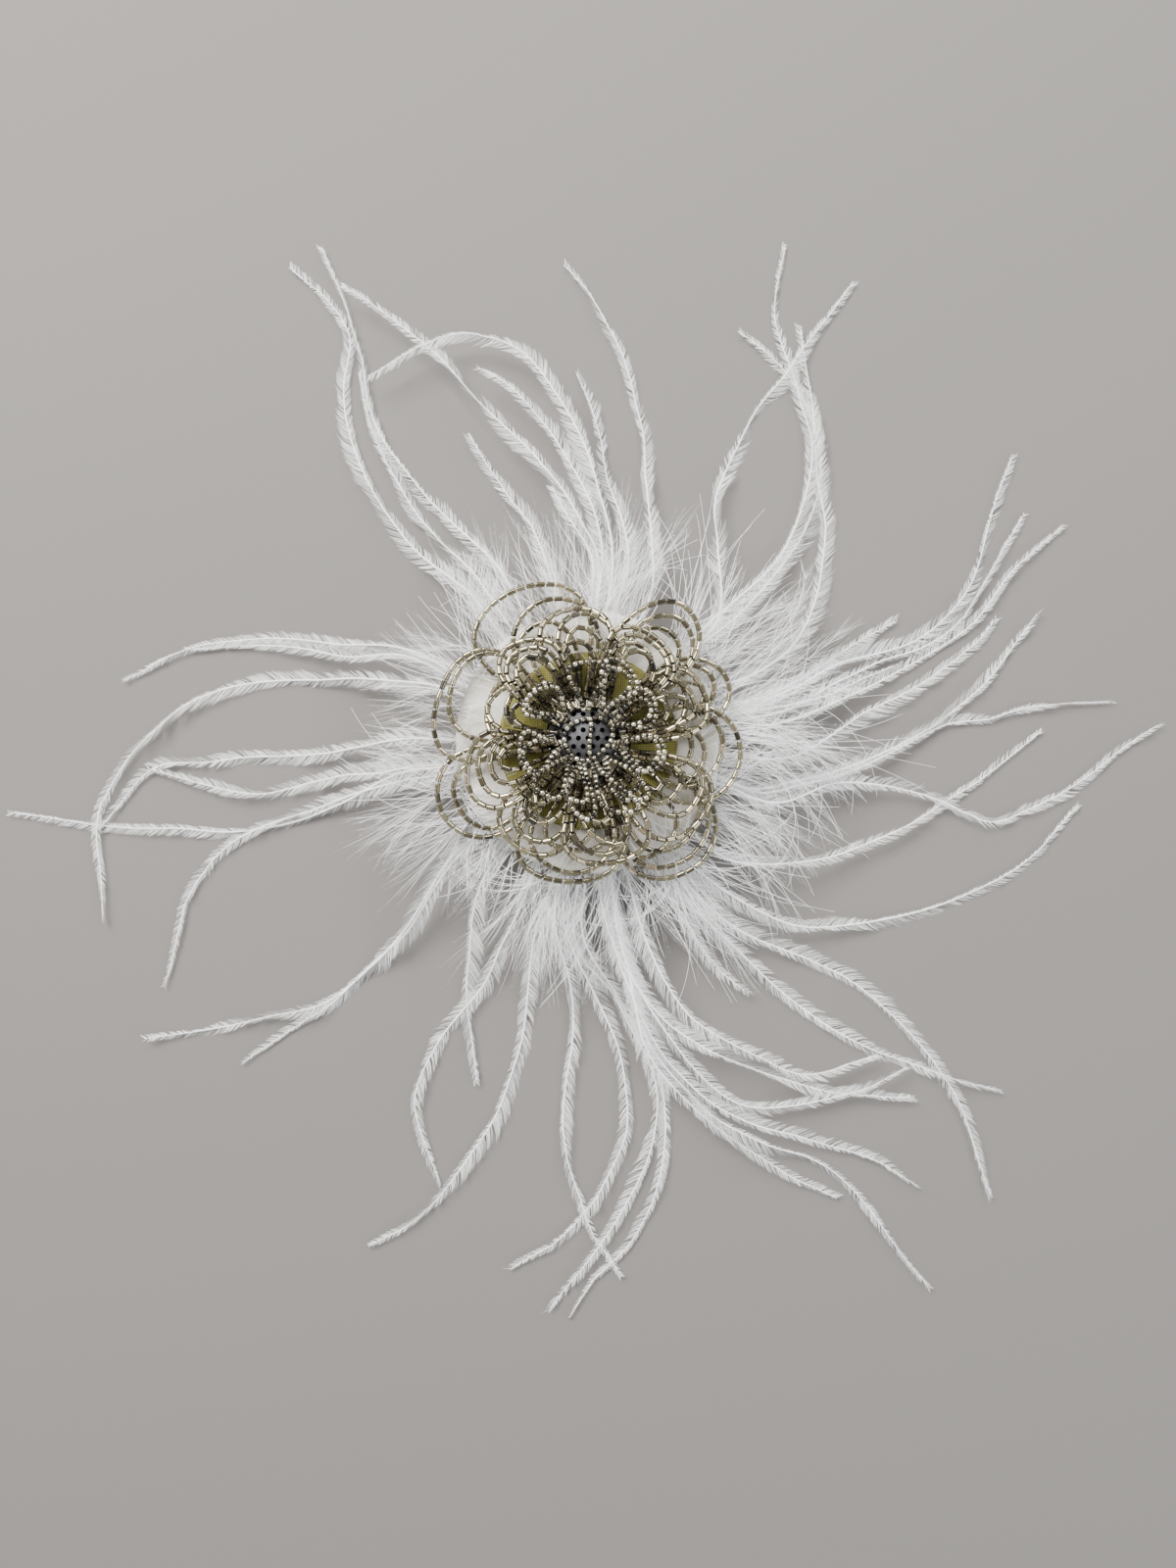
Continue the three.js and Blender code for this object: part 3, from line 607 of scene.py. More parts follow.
def strand_line(bearing, landing, floor, route, rng):
    """A strand's line: smooth in plan, as high as its tuft is at that distance, with a slight wave."""
    first = np.array(route[0], float)
    edge = first / np.linalg.norm(first) * (FELT_RADIUS - UNDER_EDGE)
    plan = [on_bearing(bearing, r) for r in TIE_RADII] + [tuple(edge)] + route
    line = smooth_line([(x, y, 0) for x, y in plan], STRAND_STEP)
    distance = np.hypot(line[:, 0], line[:, 1])
    sink = smoothstep(FELT_RADIUS, landing, distance)
    line[:, 2] = QUILL_HEIGHT + (floor + STRAND_RADIUS - QUILL_HEIGHT) * sink
    free = smoothstep(FELT_RADIUS, FELT_RADIUS + FREE_AFTER, distance)
    wave = slow_noise(rng, len(line), *SIDE_WAVE) * free
    line += unit(np.cross(np.gradient(line, axis=0), [0, 0, 1])) * wave[:, None]
    lift = np.abs(slow_noise(rng, len(line), *LIFT_WAVE)) * free
    line[:, 2] = np.maximum(line[:, 2] + lift, LOWEST)
    return line


for number, (name, bearing, landing, floor, routes) in enumerate(TUFTS):
    heap = Heap()
    for k, route in enumerate(routes):
        rng = np.random.default_rng(OSTRICH_SEED + SEEDS_PER_TUFT * number + k)
        line = strand_line(bearing, landing, floor, route, rng)
        add_shaft(heap, line[::SHAFT_STEP], OSTRICH_SHAFT, OSTRICH_SHAFT_TONE)
        add_barbules(heap, line, rng, OSTRICH_LOOK, rng.uniform(*OSTRICH_SIZES))
    stand_for(heap.build(name + "_strands", [ostrich_white]), "flower", "ostrich", name)
print("ostrich strands:", sum(len(routes) for *_, routes in TUFTS))

# %% [markdown]
# ## Marabou down
# Marabou is the loose under-feather of a young bird. A limp stem carries long hairs, far finer than the
# ostrich's barbs, and each hair has a fluff too fine to see singly, so the whole looks like mist with
# streaks in it. The strand maker above gives the stem and its hairs. The fluff is one sliver of a
# triangle for each fibre, which keeps tens of thousands of them light.

# %% Marabou hairs and stems
DOWN_LOOK = {
    "pitch": 1.7,
    "length": 20.0,
    "lean": (19, 3),
    "curl": 11,
    "width": 0.07,
    "clump": 5.0,
    "clumping": 0.1,
    "twist": 1.2,
    "twist_wave": 14,
    "lopsided": 0.2,
    "fuzz": 0.6,
    "droop": 0.1,
    "grow_at": (0.0, 0.3, 0.8, 1.0),
    "grow": (1.0, 1.1, 0.7, 0.35),
    "tone": 0.6,
    "floor": 0.3,
}
DOWN_TUFTS = 5
DOWN_FIRST_BEARING = 18
DOWN_CLUMPS = ((-26, 6), (-8, 8), (9, 5), (25, 7))  # bearing from the tuft's middle, stems
CLUMP_TURN, CLUMP_SPREAD = 3, 5
DOWN_LENGTH = 0.85
LONG_SIDES = (  # bearing, extra length, narrowness
    (4, 0.75, 6), (48, 0.25, 10), (200, 0.35, 24), (228, -0.4, 14), (250, 0.25, 24), (302, 0.4, 10),
)
STEM = {
    "start": (23, 30),  # from the axis, so under the felt
    "height": (10.9, 12.0),
    "length": (13, 29),
    "heading": 13,  # degrees off its bearing
    "turn": 0.018,  # radians that it bends in each millimetre
    "drift": 0.015,  # radians that the bend varies
    "rise": (-0.16, 0.14),
    "sink": 0.008,  # how much of the rise is lost in each millimetre
    "lowest": 2.0,
    "step": 0.6,
    "shaft": (0.1, 0.04),
    "tone": 0.8,
}


def down_size(bearing):
    """How long the down is on a bearing: the tufts are not all alike."""
    size = DOWN_LENGTH
    for middle, extra, narrow in LONG_SIDES:
        size += extra * max(0, math.cos(math.radians(bearing - middle))) ** narrow
    return size


def kept_above(points, height):
    """The same points, none of them lower than a height."""
    points = np.array(points)
    points[:, 2] = np.maximum(points[:, 2], height)
    return points


def down_line(bearing, rng):
    """One limp stem that starts under the felt's edge and drifts outwards, a millimetre at a time."""
    start = on_bearing(bearing, rng.uniform(*STEM["start"]))
    heading = math.radians(bearing + rng.normal(0, STEM["heading"]))
    turn = rng.normal(0, STEM["turn"])
    rise = rng.uniform(*STEM["rise"])
    points = [np.array([*start, rng.uniform(*STEM["height"])])]
    for _ in range(int(rng.uniform(*STEM["length"]) * down_size(bearing))):
        heading += turn + rng.normal(0, STEM["drift"])
        rise -= STEM["sink"]
        points.append(points[-1] + [math.cos(heading), math.sin(heading), rise])
    return even_line(kept_above(points, STEM["lowest"]), STEM["step"])


print("how long the down is at the right, top, left and bottom:")
print([round(down_size(bearing), 2) for bearing in (0, 90, 180, 270)])

# %% [markdown]
# Each hair's fluff is a spray of slivers. They start anywhere on the hair, lean towards its tip and stand
# off it all round, flatter than they are wide, since the down is pressed by its own weight.

# %% Fluff, and the five tufts
FLUFF_LENGTH, FLUFF_WIDTH = 0.9, 0.04
FLUFF_PER_HAIR = 10
FLUFF_FROM_TO = (0.05, 0.98)  # share of the hair
FLUFF_FLATTEN = [1, 1, 2]
FLUFF_STAND, FLUFF_REACH, FLUFF_TONES = (0.4, 1.0), (0.5, 1.0), (0.3, 1.0)
DOWN_SEED = 5000


def add_fluff(heap, hairs, rng):
    """Slivers that stand off every hair all round, swept towards its tip."""
    hair = np.repeat(np.arange(len(hairs)), FLUFF_PER_HAIR)
    at = rng.uniform(*FLUFF_FROM_TO, len(hair)) * (len(STATIONS) - 1)
    low = at.astype(int)
    part = (at - low)[:, None]
    here, after = hairs[hair, low], hairs[hair, low + 1]
    root = here * (1 - part) + after * part
    along = unit(after - here)
    out = unit(np.cross(along, rng.normal(0, 1, (len(hair), 3)) * FLUFF_FLATTEN))
    way = unit(along + out * rng.uniform(*FLUFF_STAND, (len(hair), 1)))
    reach = rng.uniform(*FLUFF_REACH, (len(hair), 1)) * FLUFF_LENGTH
    foot = along * FLUFF_WIDTH / 2
    sliver = np.stack([root - foot, root + foot, root + way * reach], 1)
    sliver[..., 2] = np.maximum(sliver[..., 2], DOWN_LOOK["floor"])
    tone = np.repeat(rng.uniform(*FLUFF_TONES, len(hair)), 3)
    heap.add(sliver, np.arange(len(hair) * 3).reshape(-1, 3), tone)


for tuft in range(DOWN_TUFTS):
    heap = Heap()
    middle = DOWN_FIRST_BEARING + tuft * 360 / DOWN_TUFTS
    rng = np.random.default_rng(DOWN_SEED + tuft)
    for offset, stems in DOWN_CLUMPS:
        clump = middle + offset + rng.normal(0, CLUMP_TURN)
        for _ in range(stems):
            line = down_line(clump + rng.normal(0, CLUMP_SPREAD), rng)
            add_shaft(heap, line[::SHAFT_STEP], STEM["shaft"], STEM["tone"])
            add_fluff(heap, add_barbules(heap, line, rng, DOWN_LOOK), rng)
    node = f"marabou_tuft_{tuft + 1}"
    stand_for(heap.build(node + "_down", [down_white]), "flower", "marabou", node)
print("marabou stems:", DOWN_TUFTS * sum(stems for _, stems in DOWN_CLUMPS))

# %% [markdown]
# Some of the down curls up round the front felt's edge. More than half of its hairs fall outwards over
# the tufts, and the others lie loosely inwards over the outer beads. A hair leaves the edge steeply and
# flattens as it goes, so each step climbs less than the one before.

# %% Stray hairs over the edge
HAIR_BUNDLES = 76
HAIRS_PER_BUNDLE = 8
INWARD_SHARE = 0.42
INWARD = {"facing": 180, "climb": (0.8, 1.3), "length": (6, 15)}
OUTWARD = {"facing": 0, "climb": (0.3, 0.9), "length": (12, 34)}
STAND_OFF = (-0.2, 0.8)  # from the felt's edge
HAIR_ROOT_HEIGHT = 12.8
BUNDLE_HEADING, ROOT_SPREAD, HAIR_FAN = 30, 4, 11
BUNDLE_TURN, HAIR_TURN = 0.025, 0.016
CLIMB_KEPT, CLIMB_LOST = 0.85, 0.03
HAIR_LOWEST, HAIR_STEP = 1.0, 0.7
HAIR_THICK, HAIR_TONE = (0.075, 0.03), 1.0
HAIR_SEED = 61


def hair_bundle(rng):
    """Hairs of one stem, which come up at the felt's edge and fan out in loose curves."""
    bearing = rng.uniform(0, 360)
    side = INWARD if rng.random() < INWARD_SHARE else OUTWARD
    size = down_size(bearing) if side is OUTWARD else 1
    heading = bearing + side["facing"] + rng.normal(0, BUNDLE_HEADING)
    turn = rng.normal(0, BUNDLE_TURN)
    hairs = []
    for _ in range(HAIRS_PER_BUNDLE):
        root = bearing + rng.normal(0, ROOT_SPREAD)
        edge = FELT_RADIUS + rng.uniform(*STAND_OFF)
        way = math.radians(heading + rng.normal(0, HAIR_FAN))
        bend = turn + rng.normal(0, HAIR_TURN)
        climb = rng.uniform(*side["climb"])
        points = [np.array([*on_bearing(root, edge), HAIR_ROOT_HEIGHT])]
        for _ in range(int(rng.uniform(*side["length"]) * size)):
            way += bend
            climb = climb * CLIMB_KEPT - CLIMB_LOST
            points.append(points[-1] + [math.cos(way), math.sin(way), climb])
        hairs.append(even_line(kept_above(points, HAIR_LOWEST), HAIR_STEP))
    return hairs


heap = Heap()
rng = np.random.default_rng(HAIR_SEED)
for _ in range(HAIR_BUNDLES):
    for hair in hair_bundle(rng):
        add_shaft(heap, hair, HAIR_THICK, HAIR_TONE)
stand_for(heap.build("stray_down", [down_white]), "flower", "marabou")
print("stray hairs:", HAIR_BUNDLES * HAIRS_PER_BUNDLE)

# %% [markdown]
# ## Felt and gold cloth discs
# The feathers are sewn between two discs of wool felt, and a smaller disc covered in an olive-gold lame
# cloth lies on the front one. A disc is made as rings of points, so that its edge can wander the way a
# hand-cut edge does and its face can swell between the stitches. Felt has no weave: its look is a fine
# tangle, so a noise a fibre wide breaks its surface and loose fibres stand off its edge.

# %% Disc maker
DISC_SIDES, DISC_RINGS = 160, 26
RIM_POINTS, RIM_ANGLE = 7, 0.15
RIM_ROUND, RIM_INSET = 0.012, 0.004
EDGE_WAVES = range(2, 9)
ANY_PHASE = 6.3
PUFF_X, PUFF_Y = 0.9, 0.8  # radians in each millimetre
SWAY_X, SWAY_Y = 0.37, 0.5


def disc_profile():
    """Shares of the radius and the height, from the top's middle over the rim to the bottom's middle."""
    flat = np.linspace(0, 1, DISC_RINGS)[1:-1]
    rim = [
        (1 - RIM_ROUND * (1 - math.cos(a)) - RIM_INSET, math.cos(a))
        for a in np.linspace(RIM_ANGLE, math.pi - RIM_ANGLE, RIM_POINTS)
    ]
    return [(r, 1.0) for r in flat] + rim + [(r, -1.0) for r in flat[::-1]]


def add_disc(heap, radius, bottom, top, rng, wander, swell):
    """A soft disc with a rounded edge that wanders, and a face that swells between its stitches."""
    turn = np.arange(DISC_SIDES) * 2 * math.pi / DISC_SIDES
    edge = 1 + wander * sum(
        rng.normal(0, 1) * np.cos(k * turn + rng.uniform(0, ANY_PHASE)) / k for k in EDGE_WAVES
    )
    middle, half = (bottom + top) / 2, (top - bottom) / 2
    profile = disc_profile()
    points = [[0, 0, top]]
    for share, height in profile:
        x, y = radius * share * edge * np.cos(turn), radius * share * edge * np.sin(turn)
        puff = np.sin(x * PUFF_X) * np.cos(y * PUFF_Y) + np.sin(x * SWAY_X + y * SWAY_Y)
        puff = swell * puff * 0.5
        points.extend(np.stack([x, y, middle + half * height + puff], 1))
    points.append([0, 0, bottom])
    outward = [0, 3, 2, 1]  # the corners in the order that makes a face look outwards
    quads = tube_faces(len(profile), DISC_SIDES)[:, outward] + 1
    start = heap.total
    heap.add(np.array(points), quads, 0.5)
    first, last = 1, len(points) - 1
    k = np.arange(DISC_SIDES)
    after = (k + 1) % DISC_SIDES
    end = last - DISC_SIDES
    heap.add_faces(np.stack([np.zeros(DISC_SIDES, int), first + k, first + after], 1), start)
    heap.add_faces(np.stack([np.full(DISC_SIDES, last), end + after, end + k], 1), start)


# %% [markdown]
# Loose fibres give the felt its soft outline. More than half of them stand on the edge and the rest are
# spread over the face, and each is a short, bent shaft like a very thin strand.

# %% Loose fibres
EDGE_SHARE = 0.6
FIBRE_POINTS = 5
FIBRE_HEADING, FIBRE_RISE, FIBRE_CURL = 1.1, (-0.1, 0.5), 0.6
FIBRE_LENGTH, FIBRE_LENGTHS = 1.6, (0.4, 1)
FIBRE_THICK, FIBRE_TONE = (0.035, 0.015), 0.9


def add_fibres(heap, count, rng, radius, height):
    """Loose fibres that stand off a disc's edge and face."""
    for _ in range(count):
        turn = rng.uniform(0, 2 * math.pi)
        out = radius * (1 if rng.random() < EDGE_SHARE else math.sqrt(rng.random()))
        z = rng.uniform(*height) if out == radius else height[1]
        start = np.array([out * math.cos(turn), out * math.sin(turn), z])
        heading = turn + rng.normal(0, FIBRE_HEADING)
        ahead = np.array([math.cos(heading), math.sin(heading), rng.uniform(*FIBRE_RISE)])
        curl = rng.normal(0, FIBRE_CURL, 3)
        t = np.linspace(0, 1, FIBRE_POINTS)[:, None]
        line = start + FIBRE_LENGTH * rng.uniform(*FIBRE_LENGTHS) * (ahead * t + curl * t**2 * 0.5)
        add_shaft(heap, line, FIBRE_THICK, FIBRE_TONE)


print("points in a disc's profile:", len(disc_profile()))

# %% [markdown]
# Felt and lame differ in how they break the light. Felt is all fine bumps without any order, so noise
# does it. Lame is woven from threads that each shine, so two sets of stripes cross, and the higher of the
# two at each place is the thread that lies on top.

# %% Materials of the discs
FIBRES_PER_METRE, CLOUDS_PER_METRE = 2200.0, 160.0
THREAD_PITCH = 0.45
WAVE_NODE_RATE = 20  # the wave node draws this many radians for each unit of its scale


def felt_material():
    """Pressed wool felt, off-white: fully matt, broken by a tangle of fibres under half a millimetre."""
    material, tree = new_material("off_white_wool_felt")
    where = put(tree, "ShaderNodeTexCoord").outputs["Object"]
    fibre = put(
        tree,
        "ShaderNodeTexNoise",
        {"Vector": where, "Scale": FIBRES_PER_METRE, "Detail": 6.0, "Distortion": 1.5},
    )
    cloud = put(tree, "ShaderNodeTexNoise", {"Vector": where, "Scale": CLOUDS_PER_METRE, "Detail": 3.0})
    mixed = put(
        tree, "ShaderNodeMath", {0: fibre.outputs[0], 1: cloud.outputs[0]}, operation="ADD"
    ).outputs[0]
    bump = put(tree, "ShaderNodeBump", {"Height": fibre.outputs[0], "Strength": 0.7, "Distance": 0.0002})
    surface(
        tree,
        {
            "Base Color": ramp(tree, mixed, [(0.7, "BDB9AD"), (1.25, "DFDBD0")]),
            "Roughness": 0.95,
            "Sheen Weight": 0.3,
            "Normal": bump.outputs[0],
        },
    )
    return material


def gold_cloth_material():
    """Lame: a plain weave of olive silk and gold tinsel, so it glints along its threads, 0.45 mm apart."""
    material, tree = new_material("olive_gold_lame")
    where = put(tree, "ShaderNodeTexCoord").outputs["Object"]
    thread = 2 * math.pi / (THREAD_PITCH * MM) / WAVE_NODE_RATE
    warp = put(tree, "ShaderNodeTexWave", {"Vector": where, "Scale": thread}, bands_direction="X")
    weft = put(tree, "ShaderNodeTexWave", {"Vector": where, "Scale": thread}, bands_direction="Y")
    weave = put(
        tree, "ShaderNodeMath", {0: warp.outputs[1], 1: weft.outputs[1]}, operation="MAXIMUM"
    ).outputs[0]
    bump = put(tree, "ShaderNodeBump", {"Height": weave, "Strength": 0.6, "Distance": 0.0001})
    surface(
        tree,
        {
            "Base Color": ramp(tree, weave, [(0.3, "454119"), (0.75, "7C7832"), (1.0, "A39C50")]),
            "Metallic": 0.3,
            "Roughness": 0.45,
            "Normal": bump.outputs[0],
        },
    )
    return material


felt, gold_cloth = felt_material(), gold_cloth_material()
print("disc materials:", felt.name, gold_cloth.name)

# %% [markdown]
# The three discs take their width and height from the frame. Each is drawn a little inside its CAD disc,
# which leaves room for the edge to wander.

# %% The three discs
EDGE_ROOM, FIBRE_ROOM, FIBRE_FOOT = 0.4, 0.5, 0.2
# name, CAD node, material, seed, wander of the edge, swell of the face, slot, loose fibres
DISCS = [
    ("front_felt", "felt_front", felt, 21, 0.004, 0.06, "felt", 700),
    ("rear_felt", "felt_back", felt, 22, 0.004, 0.04, "felt", 400),
    ("gold_cloth_disc", "gold_disc", gold_cloth, 23, 0.003, 0.08, "gold_cloth", 0),
]


def disc_piece(name, node, material, seed, wander, swell, slot, fibres):
    """One disc on the flower, with its fibres as a piece of their own. Returns its radius."""
    low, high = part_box(node)
    radius = (high.x - low.x) / 2 / MM
    rng = np.random.default_rng(seed)
    heap = Heap()
    add_disc(heap, radius - EDGE_ROOM, low.z / MM, high.z / MM, rng, wander, swell)
    piece = heap.build(name, [material])
    stand_for(piece, "flower", slot, node)
    if fibres:
        fuzz = Heap()
        add_fibres(fuzz, fibres, rng, radius - FIBRE_ROOM, (low.z / MM + FIBRE_FOOT, high.z / MM))
        stand_for(fuzz.build(name + "_fibres", [material]), "flower", slot)
    return radius


for disc in DISCS:
    print(disc[0], "radius, mm:", round(disc_piece(*disc), 1))

# %% [markdown]
# ## Glass beads
# A bugle bead is a slice of drawn glass tube, and a seed bead a shorter slice, tumbled round. Both here
# are silver-lined: the hole is mirrored, so the bead shines from inside and flashes as it turns. Clear
# glass over a mirror needs many light bounces and looks much like a polished metal in the end, so each
# bead is a metal under a clear coat. A colour ramp over the tone makes each bead shine differently.

# %% Bead materials
def bead_material(name, stops, roughness):
    """Silver-lined glass: bright, glossy and mirrored inside, so it is treated as a coated metal."""
    material, tree = new_material(name)
    surface(
        tree,
        {
            "Base Color": ramp(tree, tone_of(tree), stops),
            "Metallic": 0.85,
            "Roughness": roughness,
            "Coat Weight": 1.0,
            "Coat Roughness": 0.04,
            "Coat IOR": 1.52,
        },
    )
    return material


bugle_stops = [
    (0.0, "17130C"), (0.22, "453E2C"), (0.5, "7F775A"), (0.75, "A69E80"), (0.9, "C0A887"), (1.0, "E9E4D2"),
]
seed_stops = [(0.0, "29241A"), (0.3, "6E6753"), (0.6, "B0A992"), (0.85, "DAD5C4"), (1.0, "F4F1E4")]
bugle_glass = bead_material("silver_lined_champagne_glass", bugle_stops, 0.16)
seed_glass = bead_material("silver_lined_crystal", seed_stops, 0.2)


def thread_material():
    """Nylon thread, smoke brown, seen only between the beads, where it closes the dark gap."""
    material, tree = new_material("nylon_thread")
    surface(tree, {"Base Color": colour("2A2119"), "Roughness": 0.4})
    return material


nylon = thread_material()
print("bead materials:", bugle_glass.name, seed_glass.name, nylon.name)

# %% [markdown]
# Each bead is one small closed mesh with a real hole: a profile of points along its side and back through
# the hole, turned round the thread. A bugle keeps flat sides and sharp ends, as cut tube does. A seed
# bead is smooth all over, as tumbling leaves it.

# %% Bead shapes
BEAD_SIDES = 8
BUGLE_LENGTH, BUGLE_RADIUS, BUGLE_PITCH = 2.05, 0.67, 2.35
SEED_HALF, SEED_RADIUS, SEED_PITCH = 0.58, 0.66, 1.38
SEED_PROFILE_POINTS = 8
HOLE = 0.22
CHAMFER = 0.08
SMOOTH_AFTER = CHAMFER * 3
# painted reflection: bright and dark bands round each bead, as its silver lining's facets mirror the room
REFLECTION_STRIPE = 0.12  # how much a bead's tone comes and goes round it
END_SHARE, END_SHADE = 0.9, -0.24  # the outer tenth of a bead looks into the gap, which is dark


def bead_shape(profile):
    """A bead's points, faces, smooth flags and tones, from a profile of (x, radius, smooth)."""
    turn = np.arange(BEAD_SIDES) * 2 * math.pi / BEAD_SIDES
    points = np.array([[x, r * math.cos(a), r * math.sin(a)] for x, r, _ in profile for a in turn])
    rows = len(profile)
    faces = tube_faces(rows + 1, BEAD_SIDES) % (rows * BEAD_SIDES)
    smooth = np.repeat([flag for _, _, flag in profile], BEAD_SIDES)
    tips = np.array([abs(x) for x, _, _ in profile])
    ends = np.repeat(np.where(tips < END_SHARE * tips.max(), 0, END_SHADE), BEAD_SIDES)
    return points, faces, smooth, np.tile(REFLECTION_STRIPE * np.sin(2 * turn), rows) + ends


def bugle_profile():
    """A cut tube with a fine chamfer, mirrored about its middle."""
    half, shoulder = BUGLE_LENGTH / 2, BUGLE_RADIUS - CHAMFER
    return [
        (-half, HOLE, False), (-half, shoulder, False), (CHAMFER - half, BUGLE_RADIUS, True),
        (SMOOTH_AFTER - half, BUGLE_RADIUS, True), (half - SMOOTH_AFTER, BUGLE_RADIUS, True),
        (half - CHAMFER, BUGLE_RADIUS, False), (half, shoulder, False), (half, HOLE, False),
    ]


def seed_profile():
    """An oval ring, like a tumbled slice of tube."""
    middle, wall = (SEED_RADIUS + HOLE) / 2, (SEED_RADIUS - HOLE) / 2
    steps = np.linspace(0, 2 * math.pi, SEED_PROFILE_POINTS, endpoint=False)
    return [(-SEED_HALF * math.cos(a), middle + wall * math.sin(a), True) for a in steps]


BUGLE, SEED = bead_shape(bugle_profile()), bead_shape(seed_profile())
print("points in a bugle and in a seed bead:", len(BUGLE[0]), len(SEED[0]))

# %% [markdown]
# A string of beads is a line cut into equal steps, with one bead on each. Real strings aren't perfect: the
# beads aim a little off the line, vary in size and turn freely on the thread, and all of that shows in how
# they flash. Deep in the flower the beads lie in shade, so painted shade lowers their tone there.

# %% String beads on a line
AIM_SPREAD = 0.05
BEAD_SIZES = (0.94, 1.04)
THREAD_THICK, THREAD_TONE = (0.1, 0.1), 0.5
NUDGE = 1e-6  # so that an upright bead has a side too
# painted shade near the flower's middle: how much darker, and the distances from the axis where it fades
# out
CENTRE_SHADE_TONE, CENTRE_SHADE_FROM, CENTRE_SHADE_TO = 0.3, 7.0, 21.0


def string_beads(heap, line, shape, pitch, rng, tones, centre_shade=0.0):
    """Threads beads along a line, each straight and turned at random about the thread."""
    gone = np.concatenate([[0], np.cumsum(np.linalg.norm(np.diff(line, axis=0), axis=1))])
    count = max(1, int(round(gone[-1] / pitch)))
    ends = np.stack([np.interp(np.linspace(0, gone[-1], count + 1), gone, line[:, k]) for k in range(3)], 1)
    centre = (ends[1:] + ends[:-1]) / 2
    along = unit(ends[1:] - ends[:-1] + rng.normal(0, AIM_SPREAD, (count, 3)))
    side = unit(np.cross(along, [0, 0, 1.0]) + NUDGE)
    roll = rng.uniform(0, 2 * math.pi, count)[:, None]
    y = side * np.cos(roll) + np.cross(side, along) * np.sin(roll)
    z = np.cross(along, y)
    points, faces, smooth, reflection_band = shape
    placed = (
        points[None, :, :1] * along[:, None]
        + points[None, :, 1:2] * y[:, None]
        + points[None, :, 2:] * z[:, None]
    )
    placed = centre[:, None] + placed * rng.uniform(*BEAD_SIZES, count)[:, None, None]
    every = (faces[None] + np.arange(count)[:, None, None] * len(points)).reshape(-1, 4)
    # painted shade: full near the axis, fading out between the two distances
    painted_shade = CENTRE_SHADE_TONE * (1 - smoothstep(CENTRE_SHADE_FROM, CENTRE_SHADE_TO, np.hypot(centre[:, 0], centre[:, 1])))
    # tone: random for each bead, plus the painted reflection bands and the painted shade near the middle
    tone = rng.normal(*tones, (count, 1)) + reflection_band - centre_shade * painted_shade[:, None]
    heap.add(placed, every, np.clip(tone, 0, 1).ravel(), 0, np.tile(smooth, count))
    add_shaft(heap, ends, THREAD_THICK, THREAD_TONE, 1)
    return count


sample = Heap()
sample_count = string_beads(sample, sample_line, BUGLE, BUGLE_PITCH, np.random.default_rng(0), (0.5, 0.1))
print("bugle beads on the arch:", sample_count)

# %% [markdown]
# ## Petals
# A bead petal is a strand that leaves a hole of the sieve, runs out over the gold cloth, turns in a
# teardrop and comes back to the next hole. Bead workers nest two, three or four loops in one petal, so
# near the sieve their strands lie side by side like the ribs of a fan. The teardrop is a formula: how far
# out it is goes as the square of a sine, and how far aside as a power of that sine times a cosine, which
# narrows the neck, and a second term spreads the strands over their row of holes.
#
# For each ring, cad_root and root_height say where its CAD loops start. The hole is how far out its row of
# holes lies, the waist how narrow the neck is, and the fan how far the strands spread there. The stack is
# how far it clears the ring below it, and the skew how far a loop may lean over.

# %% Petal lines
RINGS = {
    "outer": {
        "cad_root": 13, "root_height": 15.9,
        "hole": 8.4, "waist": 0.7, "fan": 3.6, "stack": 0.0, "skew": 0.6,
    },
    "middle": {
        "cad_root": 10.9, "root_height": 17.9,
        "hole": 6.8, "waist": 1.0, "fan": 3.3, "stack": 0.9, "skew": 1.0,
    },
    "inner": {
        "cad_root": 5, "root_height": 20.5,
        "hole": 6.0, "waist": 1.2, "fan": 0.5, "stack": 0.6, "skew": 1.6,
    },
}
# ring, bearing, reach, width, lift, arch, nested loops
PETALS = [
    ("outer", 26, 36, 14, 0.5, 0, 4),
    ("outer", 56, 38, 16.5, 2.2, 0, 3),
    ("outer", 116, 38, 25, 0.5, 0, 4),
    ("outer", 163, 36.5, 23, 2.2, 0, 2),
    ("outer", 207, 37.5, 19, 0.5, 0, 2),
    ("outer", 262, 34, 23, 2.2, 0, 4),
    ("outer", 312, 37.5, 23, 0.5, 0, 4),
    ("outer", 352, 34.5, 21, 2.2, 0, 4),
    ("middle", 20, 28.5, 13.5, 3.2, 3, 4),
    ("middle", 55, 27.5, 15, 4.8, 3.2, 4),
    ("middle", 96, 29.5, 14.5, 3.2, 3, 4),
    ("middle", 129, 26.5, 12.5, 4.8, 3.2, 4),
    ("middle", 162, 24, 12.5, 3.2, 3, 4),
    ("middle", 200, 28.5, 15, 4.8, 3.2, 4),
    ("middle", 239, 29.5, 15, 3.2, 3, 4),
    ("middle", 281, 30, 16, 4.8, 3.2, 4),
    ("middle", 322, 31.5, 17, 3.2, 3, 4),
    ("inner", 28, 15.8, 7.6, 5.2, 0.3, 2),
    ("inner", 60, 17.4, 7.6, 6.8, 0.8, 2),
    ("inner", 94, 16.6, 8.2, 5.2, 0.3, 1),
    ("inner", 141, 16.2, 8.8, 5.6, 0.8, 2),
    ("inner", 196, 15.6, 9.4, 5.2, 0.3, 2),
    ("inner", 230, 18, 7.8, 6.8, 0.8, 1),
    ("inner", 258, 17.2, 6.4, 5.2, 0.3, 2),
    ("inner", 283, 18.4, 6.4, 6.8, 0.8, 1),
    ("inner", 309, 17.2, 6.8, 5.2, 0.3, 2),
    ("inner", 343, 16.8, 8.6, 6.8, 0.8, 2),
]
